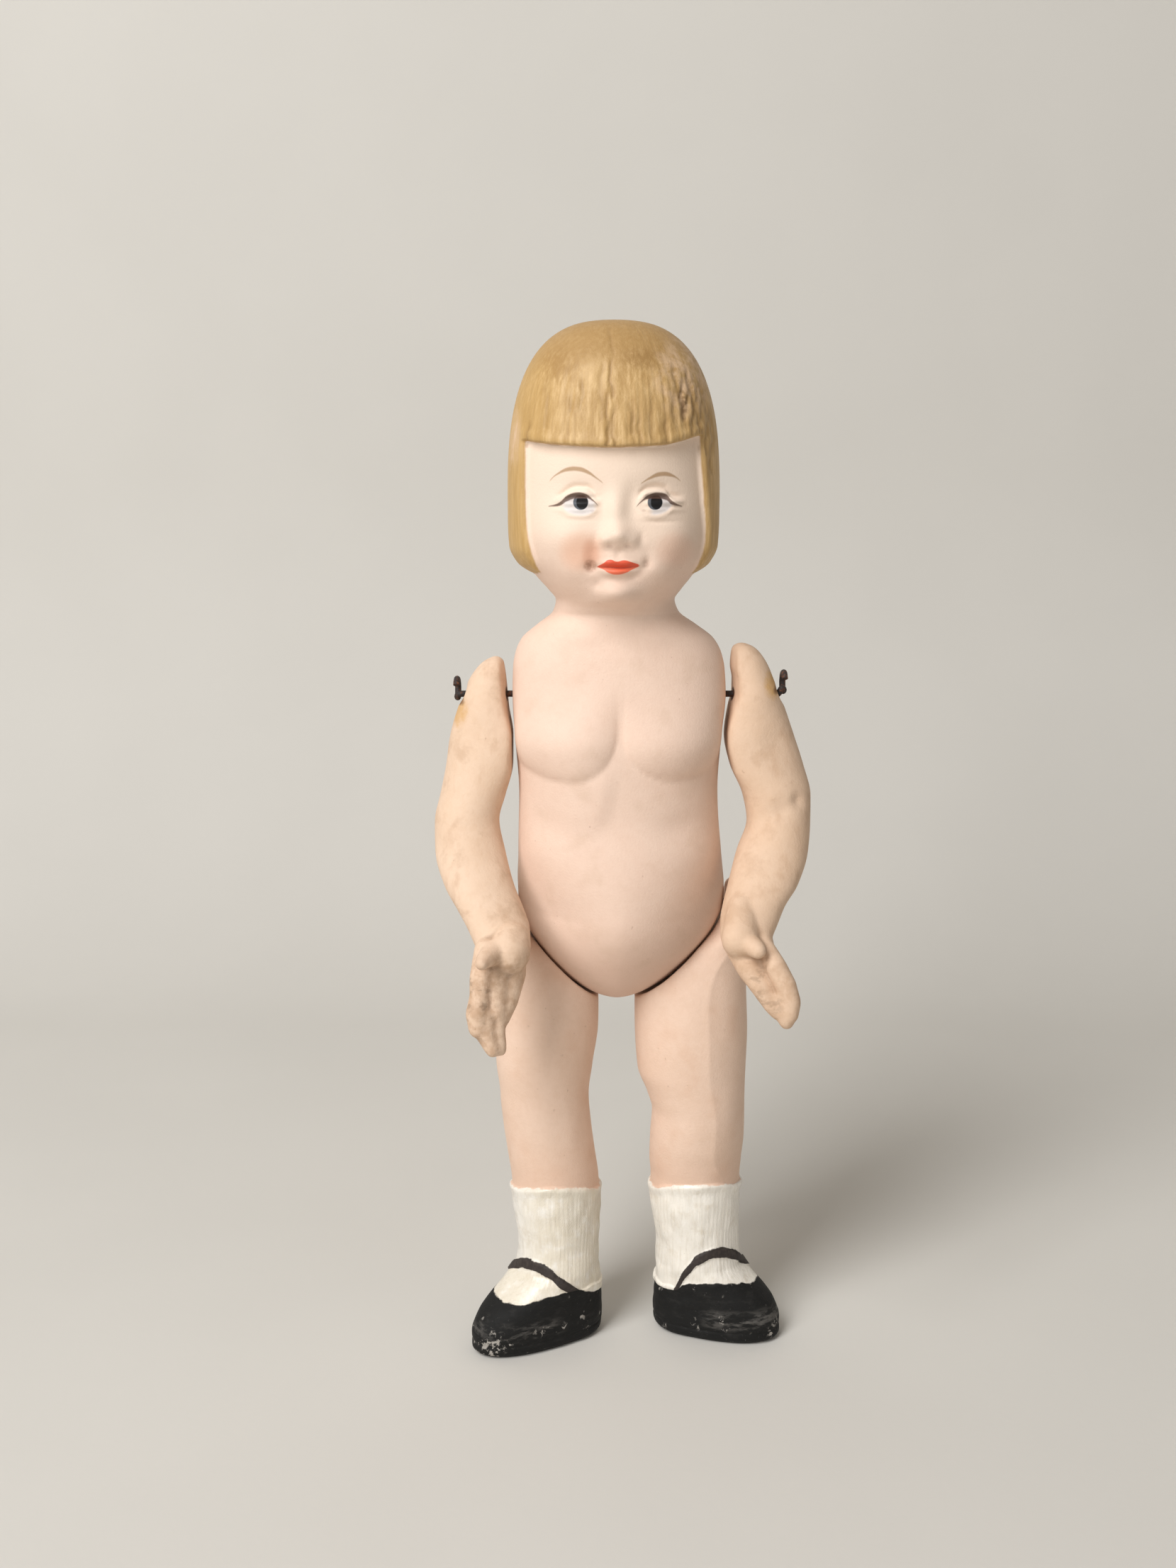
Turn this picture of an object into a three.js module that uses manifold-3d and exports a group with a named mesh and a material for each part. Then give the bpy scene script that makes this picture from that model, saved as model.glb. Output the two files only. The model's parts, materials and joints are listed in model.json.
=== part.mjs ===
// A small jointed bisque doll: one hollow casting for head and torso, two arms and two legs
// hung on two iron wires that run through the body and end in curled eyes.
// Millimetres, +Z up, the doll faces -Y and its own right side is -X. The soles stand on z = 0.
import * as THREE from 'three';
import { mergeVertices } from 'three/addons/utils/BufferGeometryUtils.js';
import Module from 'manifold-3d';

const wasm = await Module();
wasm.setup();

// Heights above the soles
const CROWN_HEIGHT = 180;
const TEMPLE_HEIGHT = 150;
const FRINGE_HEIGHT = 159.5;
const HAIR_HEM_HEIGHT = 138;
const CHIN_HEIGHT = 136;
const NECK_HEIGHT = 133;
const SHOULDER_HEIGHT = 118;
const CHEST_HEIGHT = 108;
const WAIST_HEIGHT = 98;
const HIP_HEIGHT = 80.5;
const THIGH_HEIGHT = 58;
const KNEE_HEIGHT = 43;
const CUFF_HEIGHT = 27;
const ANKLE_HEIGHT = 17;
const INSTEP_HEIGHT = 10;

// Half widths of the body casting
const HAIR_HALF_WIDTH = 17.8;
const HAIR_THICKNESS = 1.1;
const FACE_HALF_WIDTH = 15.5;
const CHIN_HALF_WIDTH = 11.2;
const NECK_HALF_WIDTH = 10.1;
const SHOULDER_HALF_WIDTH = 18.3;
const CHEST_HALF_WIDTH = 17.6;
const WAIST_HALF_WIDTH = 17.2;
const BELLY_HALF_WIDTH = 18.2;

// Depths of the body casting, in front of and behind the middle plane
const HAIR_FRONT = 17.2;
const HAIR_BACK = 18;
const CHIN_FRONT = 13.9;
const NECK_DEPTH = 10;
const CHEST_FRONT = 12.6;
const CHEST_BACK = 12.2;
const SHOULDER_FRONT = 11.6;
const SHOULDER_BACK = 11.9;
const WAIST_FRONT = 12.2;
const WAIST_BACK = 10.8;
const HIP_SETBACK = 3;
const BELLY_RADIUS = 17;
const SEAT_BACK = 13;
const BODY_WALL = 3;

// Every limb starts outside this plane, so that it swings past the widest part of the body
const BODY_SIDE = Math.max(SHOULDER_HALF_WIDTH, BELLY_HALF_WIDTH);

// Face: each size is half width, half depth and half height
const NOSE_HEIGHT = 145.6;
const NOSE_SIZE = [2.7, 3.4, 3];
const NOSE_SET_IN = 0.6;
const LIP_HEIGHT = 140.6;
const LIP_SIZE = [3.5, 1.6, 1.7];
const LIP_SET_IN = 1.2;

// Wires, their holes and the running gaps
const WIRE_RADIUS = 0.55;
const WIRE_HOLE_RADIUS = 0.85;
const EYE_RADIUS = 1.6;
const EYE_GAP = 0.35;
const EYE_SKEW = 0.3;
const WIRE_BEND = 0.9;
const ARM_GAP = 0.9;
const HIP_GAP = 0.6;
const HIP_EAR_THICKNESS = 3.8;
const HIP_EAR_RADIUS = 4.4;
const SEAT_CLEARANCE = 0.45;

// The legs swing forward by this angle, and their tops are hollowed for it in this many steps
const SIT_ANGLE = 36;
const SIT_STEPS = 3;

// Arms: each length is the drop below the piece above it
const RIGHT_ARM = {
  side: -1, crown: 6.5, upperArm: 22, forearm: 18.5, hand: 17.4,
  elbowOut: 6.7, wristOut: 0.9, tipOut: 1.6,
};
const LEFT_ARM = {
  side: 1, crown: 8.8, upperArm: 19.5, forearm: 19.5, hand: 14.6,
  elbowOut: 8.8, wristOut: 3, tipOut: 8.6,
};
const ARM_TOP_HALF_WIDTH = 3.6;
const ARM_TOP_HALF_DEPTH = 4.6;
const UPPER_ARM_RADIUS = 5.5;
const ELBOW_RADIUS = 5.6;
const ELBOW_HALF_DEPTH = 5.9;
const ELBOW_REACH = 3;
const WRIST_RADIUS = 4.4;
const PALM_HALF_WIDTH = 4.7;
const PALM_HALF_THICKNESS = 3;
const WRIST_REACH = 16.5;
const HAND_REACH = 21.5;
const FINGERTIP_RADIUS = 0.7;
const THUMB_RADIUS = 2.1;
const THUMB_LENGTH = 2.6;
const THUMB_REACH = 6.6;
const THUMB_OUT = 0.9;
const THUMB_DROP = 1;
const THUMB_BASE_RADIUS = 4;
const THUMB_BASE_REACH = 3;
const THUMB_BASE_IN = 0.8;

// Legs: distances from the middle of the doll, sizes, and how far each foot turns out
const RIGHT_LEG = {
  side: -1, thighOut: 12.3, kneeOut: 12.7, ankleOut: 10.5, thigh: 9.3, knee: 7.9, ankle: 7.15,
  ankleBack: 1, toeReach: 17.4, turnOut: 56,
};
const LEFT_LEG = {
  side: 1, thighOut: 13.5, kneeOut: 14.8, ankleOut: 15.2, thigh: 10, knee: 8.4, ankle: 7.5,
  ankleBack: 3.2, toeReach: 15.4, turnOut: 68,
};
const THIGH_HALF_DEPTH = 8.9;
const THIGH_SETBACK = 1.6;
const KNEE_SETBACK = 1.2;
const CUFF_RADIUS = 8.2;
const CUFF_ROLL = 2;
const CUFF_STEP = 0.4;
const HEEL_REACH = 7.7;
const SHOE_HALF_WIDTH = 6.9;
const SHOE_HEIGHT = 6.4;
const SOLE_INSET = 0.9;

// Facets
const BODY_SIDES = 32;
const LIMB_SIDES = 16;
const HOLLOW_SIDES = 16;
const HOLE_SIDES = 12;
const WIRE_SIDES = 8;
const EYE_STEPS = 9;
const SEAT_STEPS = 20;

const mix = (a, b, t) => a + (b - a) * t;

function toSolid(geometry) {
  const bare = geometry.index ? geometry.clone() : geometry;
  bare.deleteAttribute('normal');
  bare.deleteAttribute('uv');
  const merged = mergeVertices(bare, 1e-5);
  return new wasm.Manifold(new wasm.Mesh({
    numProp: 3,
    vertProperties: Float32Array.from(merged.attributes.position.array),
    triVerts: Uint32Array.from(merged.index.array),
  }));
}

function toGeometry(solid) {
  const mesh = solid.getMesh();
  const geometry = new THREE.BufferGeometry();
  geometry.setAttribute('position', new THREE.BufferAttribute(Float32Array.from(mesh.vertProperties), 3));
  geometry.setIndex(Array.from(mesh.triVerts));
  geometry.computeVertexNormals();
  return geometry;
}

// A closed skin over a stack of rings that all have the same number of points, from low to high
function skin(rings) {
  const sides = rings[0].length;
  const points = rings.flat();
  const index = [];
  for (let r = 0; r + 1 < rings.length; r += 1) {
    for (let i = 0; i < sides; i += 1) {
      const a = r * sides + i;
      const b = r * sides + ((i + 1) % sides);
      index.push(a, b, b + sides, a, b + sides, a + sides);
    }
  }
  const middle = (ring) => ring.reduce((sum, p) => sum.add(p), new THREE.Vector3()).divideScalar(sides);
  const low = points.push(middle(rings[0])) - 1;
  const high = points.push(middle(rings[rings.length - 1])) - 1;
  const last = (rings.length - 1) * sides;
  for (let i = 0; i < sides; i += 1) {
    const next = (i + 1) % sides;
    index.push(low, next, i, high, last + i, last + next);
  }
  const geometry = new THREE.BufferGeometry().setFromPoints(points);
  geometry.setIndex(index);
  return geometry;
}

// One level oval: half width, reach to front and back, and the two powers that round its corners.
// turn swings its front outwards to the given side.
function oval(o, sides) {
  const turn = THREE.MathUtils.degToRad(o.turn ?? 0);
  const ring = [];
  for (let i = 0; i < sides; i += 1) {
    const angle = (2 * Math.PI * i) / sides;
    const s = Math.sin(angle);
    const across = Math.sign(Math.cos(angle)) * o.width * (1 - Math.abs(s) ** o.power) ** o.round;
    const along = s < 0 ? s * o.front : s * o.back;
    ring.push(new THREE.Vector3(
      o.x + across * Math.cos(turn) - along * Math.sin(turn),
      o.y + across * Math.sin(turn) + along * Math.cos(turn),
      o.z,
    ));
  }
  return ring;
}

// A slope that keeps a curve from overshooting the step it has to make
function calmSlope(slope, step) {
  if (slope * step <= 0) return 0;
  return Math.sign(step) * Math.min(Math.abs(slope), 3 * Math.abs(step));
}

// Smooth stations: a spline through every listed value, sampled between each pair of stations
function smooth(stations, between) {
  const names = Object.keys(stations[0]);
  const out = [];
  for (let i = 0; i + 1 < stations.length; i += 1) {
    for (let k = 0; k < between; k += 1) {
      const t = k / between;
      const row = {};
      for (const name of names) {
        const at = (n) => stations[Math.min(Math.max(n, 0), stations.length - 1)][name];
        const step = at(i + 1) - at(i);
        const a = calmSlope((at(i + 1) - at(i - 1)) / 2, step);
        const b = calmSlope((at(i + 2) - at(i)) / 2, step);
        row[name] = at(i) + t * a + t * t * (3 * step - 2 * a - b) + t * t * t * (a + b - 2 * step);
      }
      out.push(row);
    }
  }
  out.push(stations[stations.length - 1]);
  return out;
}

// The round seat of the body: half width at a distance from the hip axis
const SEAT_POWER = 1.35;
const SEAT_ROUND = 0.57;
const SEAT_TURN = 0.4;
const seatHalfWidth = (distance, radius, halfWidth) =>
  halfWidth * Math.max(0, 1 - (distance / radius) ** SEAT_POWER) ** SEAT_ROUND;

function seatRings(inset, sides, count) {
  const radius = BELLY_RADIUS - inset;
  const halfWidth = BELLY_HALF_WIDTH - inset;
  const rings = [];
  for (let i = 1; i < count; i += 1) {
    const drop = radius * Math.cos((Math.PI / 2) * (i / count));
    const reach = Math.sqrt(radius * radius - drop * drop);
    const back = (reach / radius) * (SEAT_BACK - HIP_SETBACK - inset);
    const level = seatHalfWidth(drop, radius, halfWidth);
    const fullness = THREE.MathUtils.smoothstep(1 - drop / radius, SEAT_TURN, 1);
    const ring = [];
    for (let k = 0; k < sides; k += 1) {
      const angle = (2 * Math.PI * k) / sides;
      const s = Math.sin(angle);
      const turned = seatHalfWidth(Math.hypot(drop, s * reach), radius, halfWidth);
      const across = mix(turned, level * Math.sqrt(Math.max(0, 1 - s * s)), fullness);
      ring.push(new THREE.Vector3(
        Math.sign(Math.cos(angle)) * across,
        HIP_SETBACK + s * (s < 0 ? reach : back),
        HIP_HEIGHT - drop,
      ));
    }
    rings.push(ring);
  }
  return rings;
}

// Dome of the head above the temples, left a little open at the very top
const DOME_POWER = 2.75;
const DOME_SHARE = 0.985;
function domeStations(top, halfWidth, front, back, count) {
  const rows = [];
  for (let i = 0; i <= count; i += 1) {
    const t = Math.sin((Math.PI / 2) * (i / count) * DOME_SHARE);
    const shrink = (1 - t ** DOME_POWER) ** (1 / DOME_POWER);
    rows.push({
      x: 0, y: 0, z: mix(TEMPLE_HEIGHT, top, t), power: 2.1, round: 0.48,
      width: halfWidth * shrink, front: front * shrink, back: back * shrink,
    });
  }
  return rows;
}

// Flesh of torso, neck and head; inset gives the hollow inside it
function bodyRings(inset, sides, between) {
  const row = (z, width, front, back, y, power, round) => ({
    x: 0, y, z, power, round,
    width: width - inset, front: y + front - inset, back: back - y - inset,
  });
  const skullHalf = HAIR_HALF_WIDTH - HAIR_THICKNESS;
  const skullFront = HAIR_FRONT - HAIR_THICKNESS;
  const skullBack = HAIR_BACK - HAIR_THICKNESS;
  const bellyFront = BELLY_RADIUS - HIP_SETBACK;
  const waist = (t) => mix(HIP_HEIGHT, WAIST_HEIGHT, t);
  const waistHalf = (t) => mix(BELLY_HALF_WIDTH, WAIST_HALF_WIDTH, t);
  const waistFront = (t) => mix(bellyFront, WAIST_FRONT, t);
  const waistBack = (t) => mix(SEAT_BACK, WAIST_BACK, t);
  const neck = (t) => mix(SHOULDER_HEIGHT, NECK_HEIGHT, t);
  const neckHalf = (t) => mix(SHOULDER_HALF_WIDTH, NECK_HALF_WIDTH, t);
  const neckFront = (t) => mix(SHOULDER_FRONT, NECK_DEPTH, t);
  const neckBack = (t) => mix(SHOULDER_BACK, NECK_DEPTH, t);
  const jaw = (t) => mix(CHIN_HEIGHT, TEMPLE_HEIGHT, t);
  const jawHalf = (t) => mix(CHIN_HALF_WIDTH, skullHalf, t);
  const jawFront = (t) => mix(CHIN_FRONT, skullFront, t);
  const jawBack = (t) => mix(NECK_DEPTH, skullBack, t);
  const setback = (t) => mix(HIP_SETBACK, 0, t);
  const trunk = smooth([
    row(HIP_HEIGHT, BELLY_HALF_WIDTH, bellyFront, SEAT_BACK, HIP_SETBACK, 2, 0.5),
    row(waist(0.3), waistHalf(0.15), waistFront(0.33), waistBack(0.45), setback(0.4), 2, 0.5),
    row(waist(0.62), waistHalf(0.6), waistFront(0.6), waistBack(0.82), setback(0.8), 2.1, 0.49),
    row(WAIST_HEIGHT, WAIST_HALF_WIDTH, WAIST_FRONT, WAIST_BACK, 0, 2.2, 0.48),
    row(CHEST_HEIGHT, CHEST_HALF_WIDTH, CHEST_FRONT, CHEST_BACK, 0, 2.2, 0.46),
    row(SHOULDER_HEIGHT, SHOULDER_HALF_WIDTH, SHOULDER_FRONT, SHOULDER_BACK, 0, 2.2, 0.46),
    row(neck(0.45), neckHalf(0.05), neckFront(0.7), neckBack(0.47), 0, 2.1, 0.48),
    row(neck(0.64), neckHalf(0.24), neckFront(1), neckBack(0.8), 0, 2, 0.5),
    row(neck(0.82), neckHalf(0.66), neckFront(1.2), neckBack(1), 0, 2, 0.5),
    row(NECK_HEIGHT, NECK_HALF_WIDTH, NECK_DEPTH, NECK_DEPTH, 0, 2, 0.5),
    row(CHIN_HEIGHT, CHIN_HALF_WIDTH, CHIN_FRONT, jawBack(0.15), 0, 2, 0.5),
    row(jaw(0.4), jawHalf(0.82), jawFront(0.73), jawBack(0.7), 0, 2.1, 0.5),
    row(jaw(0.7), jawHalf(0.98), skullFront, jawBack(0.95), 0, 2.1, 0.48),
  ], between).map((o) => oval(o, sides));
  const top = CROWN_HEIGHT - HAIR_THICKNESS - inset;
  const dome = domeStations(top, skullHalf - inset, skullFront - inset, skullBack - inset, 4 * between)
    .map((o) => oval(o, sides));
  return [...seatRings(inset, sides, 4 * between), ...trunk, ...dome];
}

function ball(x, y, z, size) {
  return toSolid(new THREE.SphereGeometry(1, 12, 8).scale(...size).translate(x, y, z));
}

function rodAlongX(radius, from, to, y, z, sides) {
  const rod = new THREE.CylinderGeometry(radius, radius, Math.abs(to - from), sides);
  rod.rotateZ(Math.PI / 2).translate((from + to) / 2, y, z);
  return toSolid(rod);
}

// Moulded bob: a thicker dome with a rounded hem, open over the face
function hairSolid() {
  const low = (t) => mix(TEMPLE_HEIGHT, HAIR_HEM_HEIGHT, t);
  const row = (t, share) => ({
    x: 0, y: 0, z: low(t), power: 2.1, round: 0.48,
    width: HAIR_HALF_WIDTH * share, front: HAIR_FRONT * share, back: HAIR_BACK * share,
  });
  const hem = smooth([row(1, 0.62), row(0.93, 0.78), row(0.78, 0.93), row(0.55, 0.995), row(0.2, 1)], 2);
  const dome = domeStations(CROWN_HEIGHT, HAIR_HALF_WIDTH, HAIR_FRONT, HAIR_BACK, 8);
  const bob = toSolid(skin([...hem, ...dome].map((o) => oval(o, BODY_SIDES))));
  const opening = new THREE.Shape();
  opening.moveTo(-FACE_HALF_WIDTH, FRINGE_HEIGHT + 1);
  opening.quadraticCurveTo(0, FRINGE_HEIGHT - 1, FACE_HALF_WIDTH, FRINGE_HEIGHT + 1);
  opening.lineTo(FACE_HALF_WIDTH, low(0.3));
  opening.lineTo(CHIN_HALF_WIDTH, low(1) - HAIR_THICKNESS);
  opening.lineTo(-CHIN_HALF_WIDTH, low(1) - HAIR_THICKNESS);
  opening.lineTo(-FACE_HALF_WIDTH, low(0.3));
  const cut = { depth: 2 * HAIR_FRONT, bevelEnabled: false, curveSegments: 6 };
  const window = new THREE.ExtrudeGeometry(opening, cut);
  window.rotateX(Math.PI / 2).translate(0, -HAIR_FRONT / 6, 0);
  return bob.subtract(toSolid(window));
}

function headAndTorso() {
  const skullFront = HAIR_FRONT - HAIR_THICKNESS;
  const hollow = toSolid(skin(bodyRings(BODY_WALL, HOLLOW_SIDES, 1)));
  let body = toSolid(skin(bodyRings(0, BODY_SIDES, 2))).add(hairSolid());
  body = body.add(ball(0, NOSE_SET_IN - skullFront, NOSE_HEIGHT, NOSE_SIZE));
  body = body.add(ball(0, LIP_SET_IN - skullFront, LIP_HEIGHT, LIP_SIZE));
  body = body.subtract(hollow);
  const through = 2 * BODY_SIDE;
  body = body.subtract(rodAlongX(WIRE_HOLE_RADIUS, -through, through, 0, SHOULDER_HEIGHT, HOLE_SIDES));
  return body.subtract(rodAlongX(WIRE_HOLE_RADIUS, -through, through, HIP_SETBACK, HIP_HEIGHT, HOLE_SIDES));
}

const armFace = BODY_SIDE + ARM_GAP;
const hipFace = BODY_SIDE + HIP_GAP;
const armOuter = armFace + 2 * ARM_TOP_HALF_WIDTH;
const hipOuter = hipFace + HIP_EAR_THICKNESS;
const EYE_REACH = 2 * EYE_RADIUS + WIRE_RADIUS + EYE_GAP;

// The hole for the wire through the top of a limb, and the room outside it for the wire's eye
function limbBore(side, outer, y, z) {
  const hole = rodAlongX(WIRE_HOLE_RADIUS, 0, 2 * side * outer, y, z, HOLE_SIDES);
  return hole.add(rodAlongX(EYE_REACH, side * outer, 2 * side * outer, y, z, LIMB_SIDES));
}

function armSolid(arm) {
  const top = SHOULDER_HEIGHT + arm.crown;
  const elbow = SHOULDER_HEIGHT - arm.upperArm;
  const wrist = elbow - arm.forearm;
  const tip = wrist - arm.hand;
  const row = (z, out, forward, width, depth) => ({
    x: arm.side * (armFace + out), y: -forward, z, width, front: depth, back: depth, power: 2, round: 0.5,
  });
  const hand = (t, out, reach, width, thickness) => row(
    mix(tip, wrist, t), mix(arm.tipOut, arm.wristOut, out), mix(HAND_REACH, WRIST_REACH, reach),
    width * PALM_HALF_WIDTH, thickness * PALM_HALF_THICKNESS,
  );
  const forearm = (t, out, reach, width, depth) => row(
    mix(wrist, elbow, t), mix(arm.wristOut, arm.elbowOut, out), mix(WRIST_REACH, ELBOW_REACH, reach),
    mix(WRIST_RADIUS, ELBOW_RADIUS, width), mix(WRIST_RADIUS, ELBOW_HALF_DEPTH, depth),
  );
  const upper = (t, out, reach, width, depth) => row(
    mix(elbow, SHOULDER_HEIGHT, t), mix(arm.elbowOut, UPPER_ARM_RADIUS, out), reach * ELBOW_REACH,
    width * UPPER_ARM_RADIUS, depth * ELBOW_HALF_DEPTH,
  );
  const crown = (t, out, width, depth) => row(
    mix(SHOULDER_HEIGHT, top, t), out * ARM_TOP_HALF_WIDTH, 0,
    width * ARM_TOP_HALF_WIDTH, depth * ARM_TOP_HALF_DEPTH,
  );
  const stations = [
    row(tip, arm.tipOut - FINGERTIP_RADIUS / 2, HAND_REACH, FINGERTIP_RADIUS, FINGERTIP_RADIUS),
    hand(0.16, 0, 0.02, 0.57, 0.63),
    hand(0.36, 0.25, 0.14, 0.85, 0.83),
    hand(0.7, 0.7, 0.45, 1, 1),
    forearm(0, 0, 0, 0, 0),
    forearm(0.27, 0.36, 0.26, 0.5, 0.27),
    forearm(0.53, 0.68, 0.56, 1, 0.6),
    forearm(0.78, 0.92, 0.82, 1.12, 0.94),
    forearm(1, 1, 1, 0.92, 1),
    upper(0.22, 0.65, 0.53, 1, 0.98),
    upper(0.46, 1, 0.27, 0.97, 1),
    upper(0.68, 1, 0.1, 0.94, 0.95),
    crown(0, 1, 1, 1),
    crown(0.5, 0.8, 0.75, 0.78),
    crown(0.85, 0.56, 0.45, 0.48),
    crown(1, 0.45, 0.14, 0.13),
  ];
  let solid = toSolid(skin(smooth(stations, 2).map((o) => oval(o, LIMB_SIDES))));
  const mound = [THUMB_BASE_RADIUS, THUMB_BASE_RADIUS, THUMB_BASE_RADIUS];
  const thumb = [THUMB_RADIUS, THUMB_LENGTH, THUMB_RADIUS];
  const moundX = arm.side * (armFace + arm.wristOut - THUMB_BASE_IN);
  const thumbX = arm.side * (armFace + arm.wristOut + THUMB_OUT);
  solid = solid.add(ball(moundX, -WRIST_REACH - THUMB_BASE_REACH, wrist - THUMB_DROP, mound));
  solid = solid.add(ball(thumbX, -WRIST_REACH - THUMB_REACH, wrist - THUMB_DROP, thumb));
  return solid.subtract(limbBore(arm.side, armOuter, 0, SHOULDER_HEIGHT));
}

// Solid of revolution round the hip axis that the top of each leg is hollowed to
function seatTool() {
  const radius = BELLY_RADIUS + SEAT_CLEARANCE;
  const halfWidth = BELLY_HALF_WIDTH + SEAT_CLEARANCE;
  const profile = [];
  for (let i = 0; i <= SEAT_STEPS; i += 1) {
    const x = -halfWidth * Math.cos((Math.PI * i) / SEAT_STEPS);
    const inner = Math.max(0, 1 - (Math.abs(x) / halfWidth) ** (1 / SEAT_ROUND));
    profile.push(new THREE.Vector2(radius * inner ** (1 / SEAT_POWER), x));
  }
  profile[0].x = 0;
  profile[SEAT_STEPS].x = 0;
  const tool = new THREE.LatheGeometry(profile, BODY_SIDES);
  return toSolid(tool.rotateZ(-Math.PI / 2).translate(0, HIP_SETBACK, HIP_HEIGHT));
}

// The belly as a thigh meets it when the leg has swung forward by an angle
function bellyTool(degrees) {
  const belly = skin(bodyRings(-SEAT_CLEARANCE, BODY_SIDES, 1));
  belly.translate(0, -HIP_SETBACK, -HIP_HEIGHT);
  belly.rotateX(THREE.MathUtils.degToRad(degrees));
  return toSolid(belly.translate(0, HIP_SETBACK, HIP_HEIGHT));
}

function legSolid(leg) {
  const turn = leg.side * leg.turnOut;
  const turned = (z, out, back, width, front, heel) => ({
    x: leg.side * out, y: back, z, width, front, back: heel, power: 2, round: 0.5, turn,
  });
  const level = (z, out, back, width, depth) => ({ ...turned(z, out, back, width, depth, depth), turn: 0 });
  const foot = (z, toe, heel, width) => ({
    ...turned(z, leg.ankleOut, leg.ankleBack, width, toe, heel), power: 2.6, round: 0.46,
  });
  const ankle = (z, toe) => turned(z, leg.ankleOut, leg.ankleBack, leg.ankle, toe * leg.ankle, leg.ankle);
  const cuffOut = mix(leg.ankleOut, leg.kneeOut, 0.2);
  const cuff = (z) => turned(z, cuffOut, leg.ankleBack, CUFF_RADIUS, CUFF_RADIUS, CUFF_RADIUS);
  const toe = (t) => mix(leg.ankle, leg.toeReach, t);
  const heel = (t) => mix(leg.ankle, HEEL_REACH, t);
  const sole = SHOE_HALF_WIDTH - SOLE_INSET;
  const shoe = smooth([
    foot(0, leg.toeReach - SOLE_INSET, HEEL_REACH - SOLE_INSET, sole),
    foot(SOLE_INSET, leg.toeReach, heel(0.8), mix(sole, SHOE_HALF_WIDTH, 0.7)),
    foot(SHOE_HEIGHT / 2, leg.toeReach, HEEL_REACH, SHOE_HALF_WIDTH),
    foot(SHOE_HEIGHT * 0.85, toe(0.88), heel(0.8), SHOE_HALF_WIDTH),
    foot(SHOE_HEIGHT * 1.15, toe(0.63), heel(0.5), SHOE_HALF_WIDTH),
    foot(INSTEP_HEIGHT, toe(0.38), heel(0.2), mix(leg.ankle, SHOE_HALF_WIDTH, 0.5)),
    ankle(mix(INSTEP_HEIGHT, ANKLE_HEIGHT, 0.5), 1.12),
    ankle(ANKLE_HEIGHT, 1),
    cuff(CUFF_HEIGHT - CUFF_ROLL),
    cuff(CUFF_HEIGHT),
  ], 1);
  const earOut = hipFace + HIP_EAR_THICKNESS / 2;
  const earHalf = HIP_EAR_THICKNESS / 2;
  const ear = (t, width, depth) => level(
    HIP_HEIGHT + t * HIP_EAR_RADIUS, earOut, HIP_SETBACK, width * earHalf, depth * HIP_EAR_RADIUS,
  );
  const hang = (t) => mix(HIP_HEIGHT, THIGH_HEIGHT, t);
  const wedge = (t, share, depth) => {
    const outside = mix(hipOuter, leg.thighOut + leg.thigh, t);
    const inside = mix(hipFace, leg.thighOut - leg.thigh, share);
    const setback = mix(HIP_SETBACK, THIGH_SETBACK, t);
    return level(hang(t), (inside + outside) / 2, setback, (outside - inside) / 2, depth * THIGH_HALF_DEPTH);
  };
  const shank = mix(leg.ankleOut, leg.kneeOut, 0.65);
  const shankBack = mix(leg.ankleBack, KNEE_SETBACK, 0.5);
  const overKnee = mix(KNEE_HEIGHT, THIGH_HEIGHT, 0.5);
  const overKneeOut = mix(leg.kneeOut, leg.thighOut, 0.4);
  const overKneeHalf = mix(leg.knee, leg.thigh, 0.6);
  const overKneeDepth = mix(leg.knee, THIGH_HALF_DEPTH, 0.75);
  const upper = smooth([
    level(CUFF_HEIGHT + CUFF_STEP, cuffOut, leg.ankleBack, CUFF_RADIUS - CUFF_STEP, CUFF_RADIUS - CUFF_STEP),
    level(mix(CUFF_HEIGHT, KNEE_HEIGHT, 0.5), shank, shankBack, leg.knee, leg.knee),
    level(KNEE_HEIGHT, leg.kneeOut, KNEE_SETBACK, leg.knee, leg.knee),
    level(overKnee, overKneeOut, KNEE_SETBACK, overKneeHalf, overKneeDepth),
    level(THIGH_HEIGHT, leg.thighOut, THIGH_SETBACK, leg.thigh, THIGH_HALF_DEPTH),
    wedge(0.7, 1, 0.98),
    wedge(0.5, 0.86, 0.91),
    wedge(0.33, 0.52, 0.81),
    wedge(0.17, 0.12, 0.7),
    ear(0, 1, 1),
    ear(0.6, 0.92, 0.8),
    ear(0.9, 0.6, 0.44),
    ear(1, 0.2, 0.14),
  ], 2);
  let solid = toSolid(skin([...shoe, ...upper].map((o) => oval(o, LIMB_SIDES))));
  solid = solid.subtract(seatTool());
  for (let step = 1; step <= SIT_STEPS; step += 1) {
    solid = solid.subtract(bellyTool((SIT_ANGLE * step) / SIT_STEPS));
  }
  return solid.subtract(limbBore(leg.side, hipOuter, HIP_SETBACK, HIP_HEIGHT));
}

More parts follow.
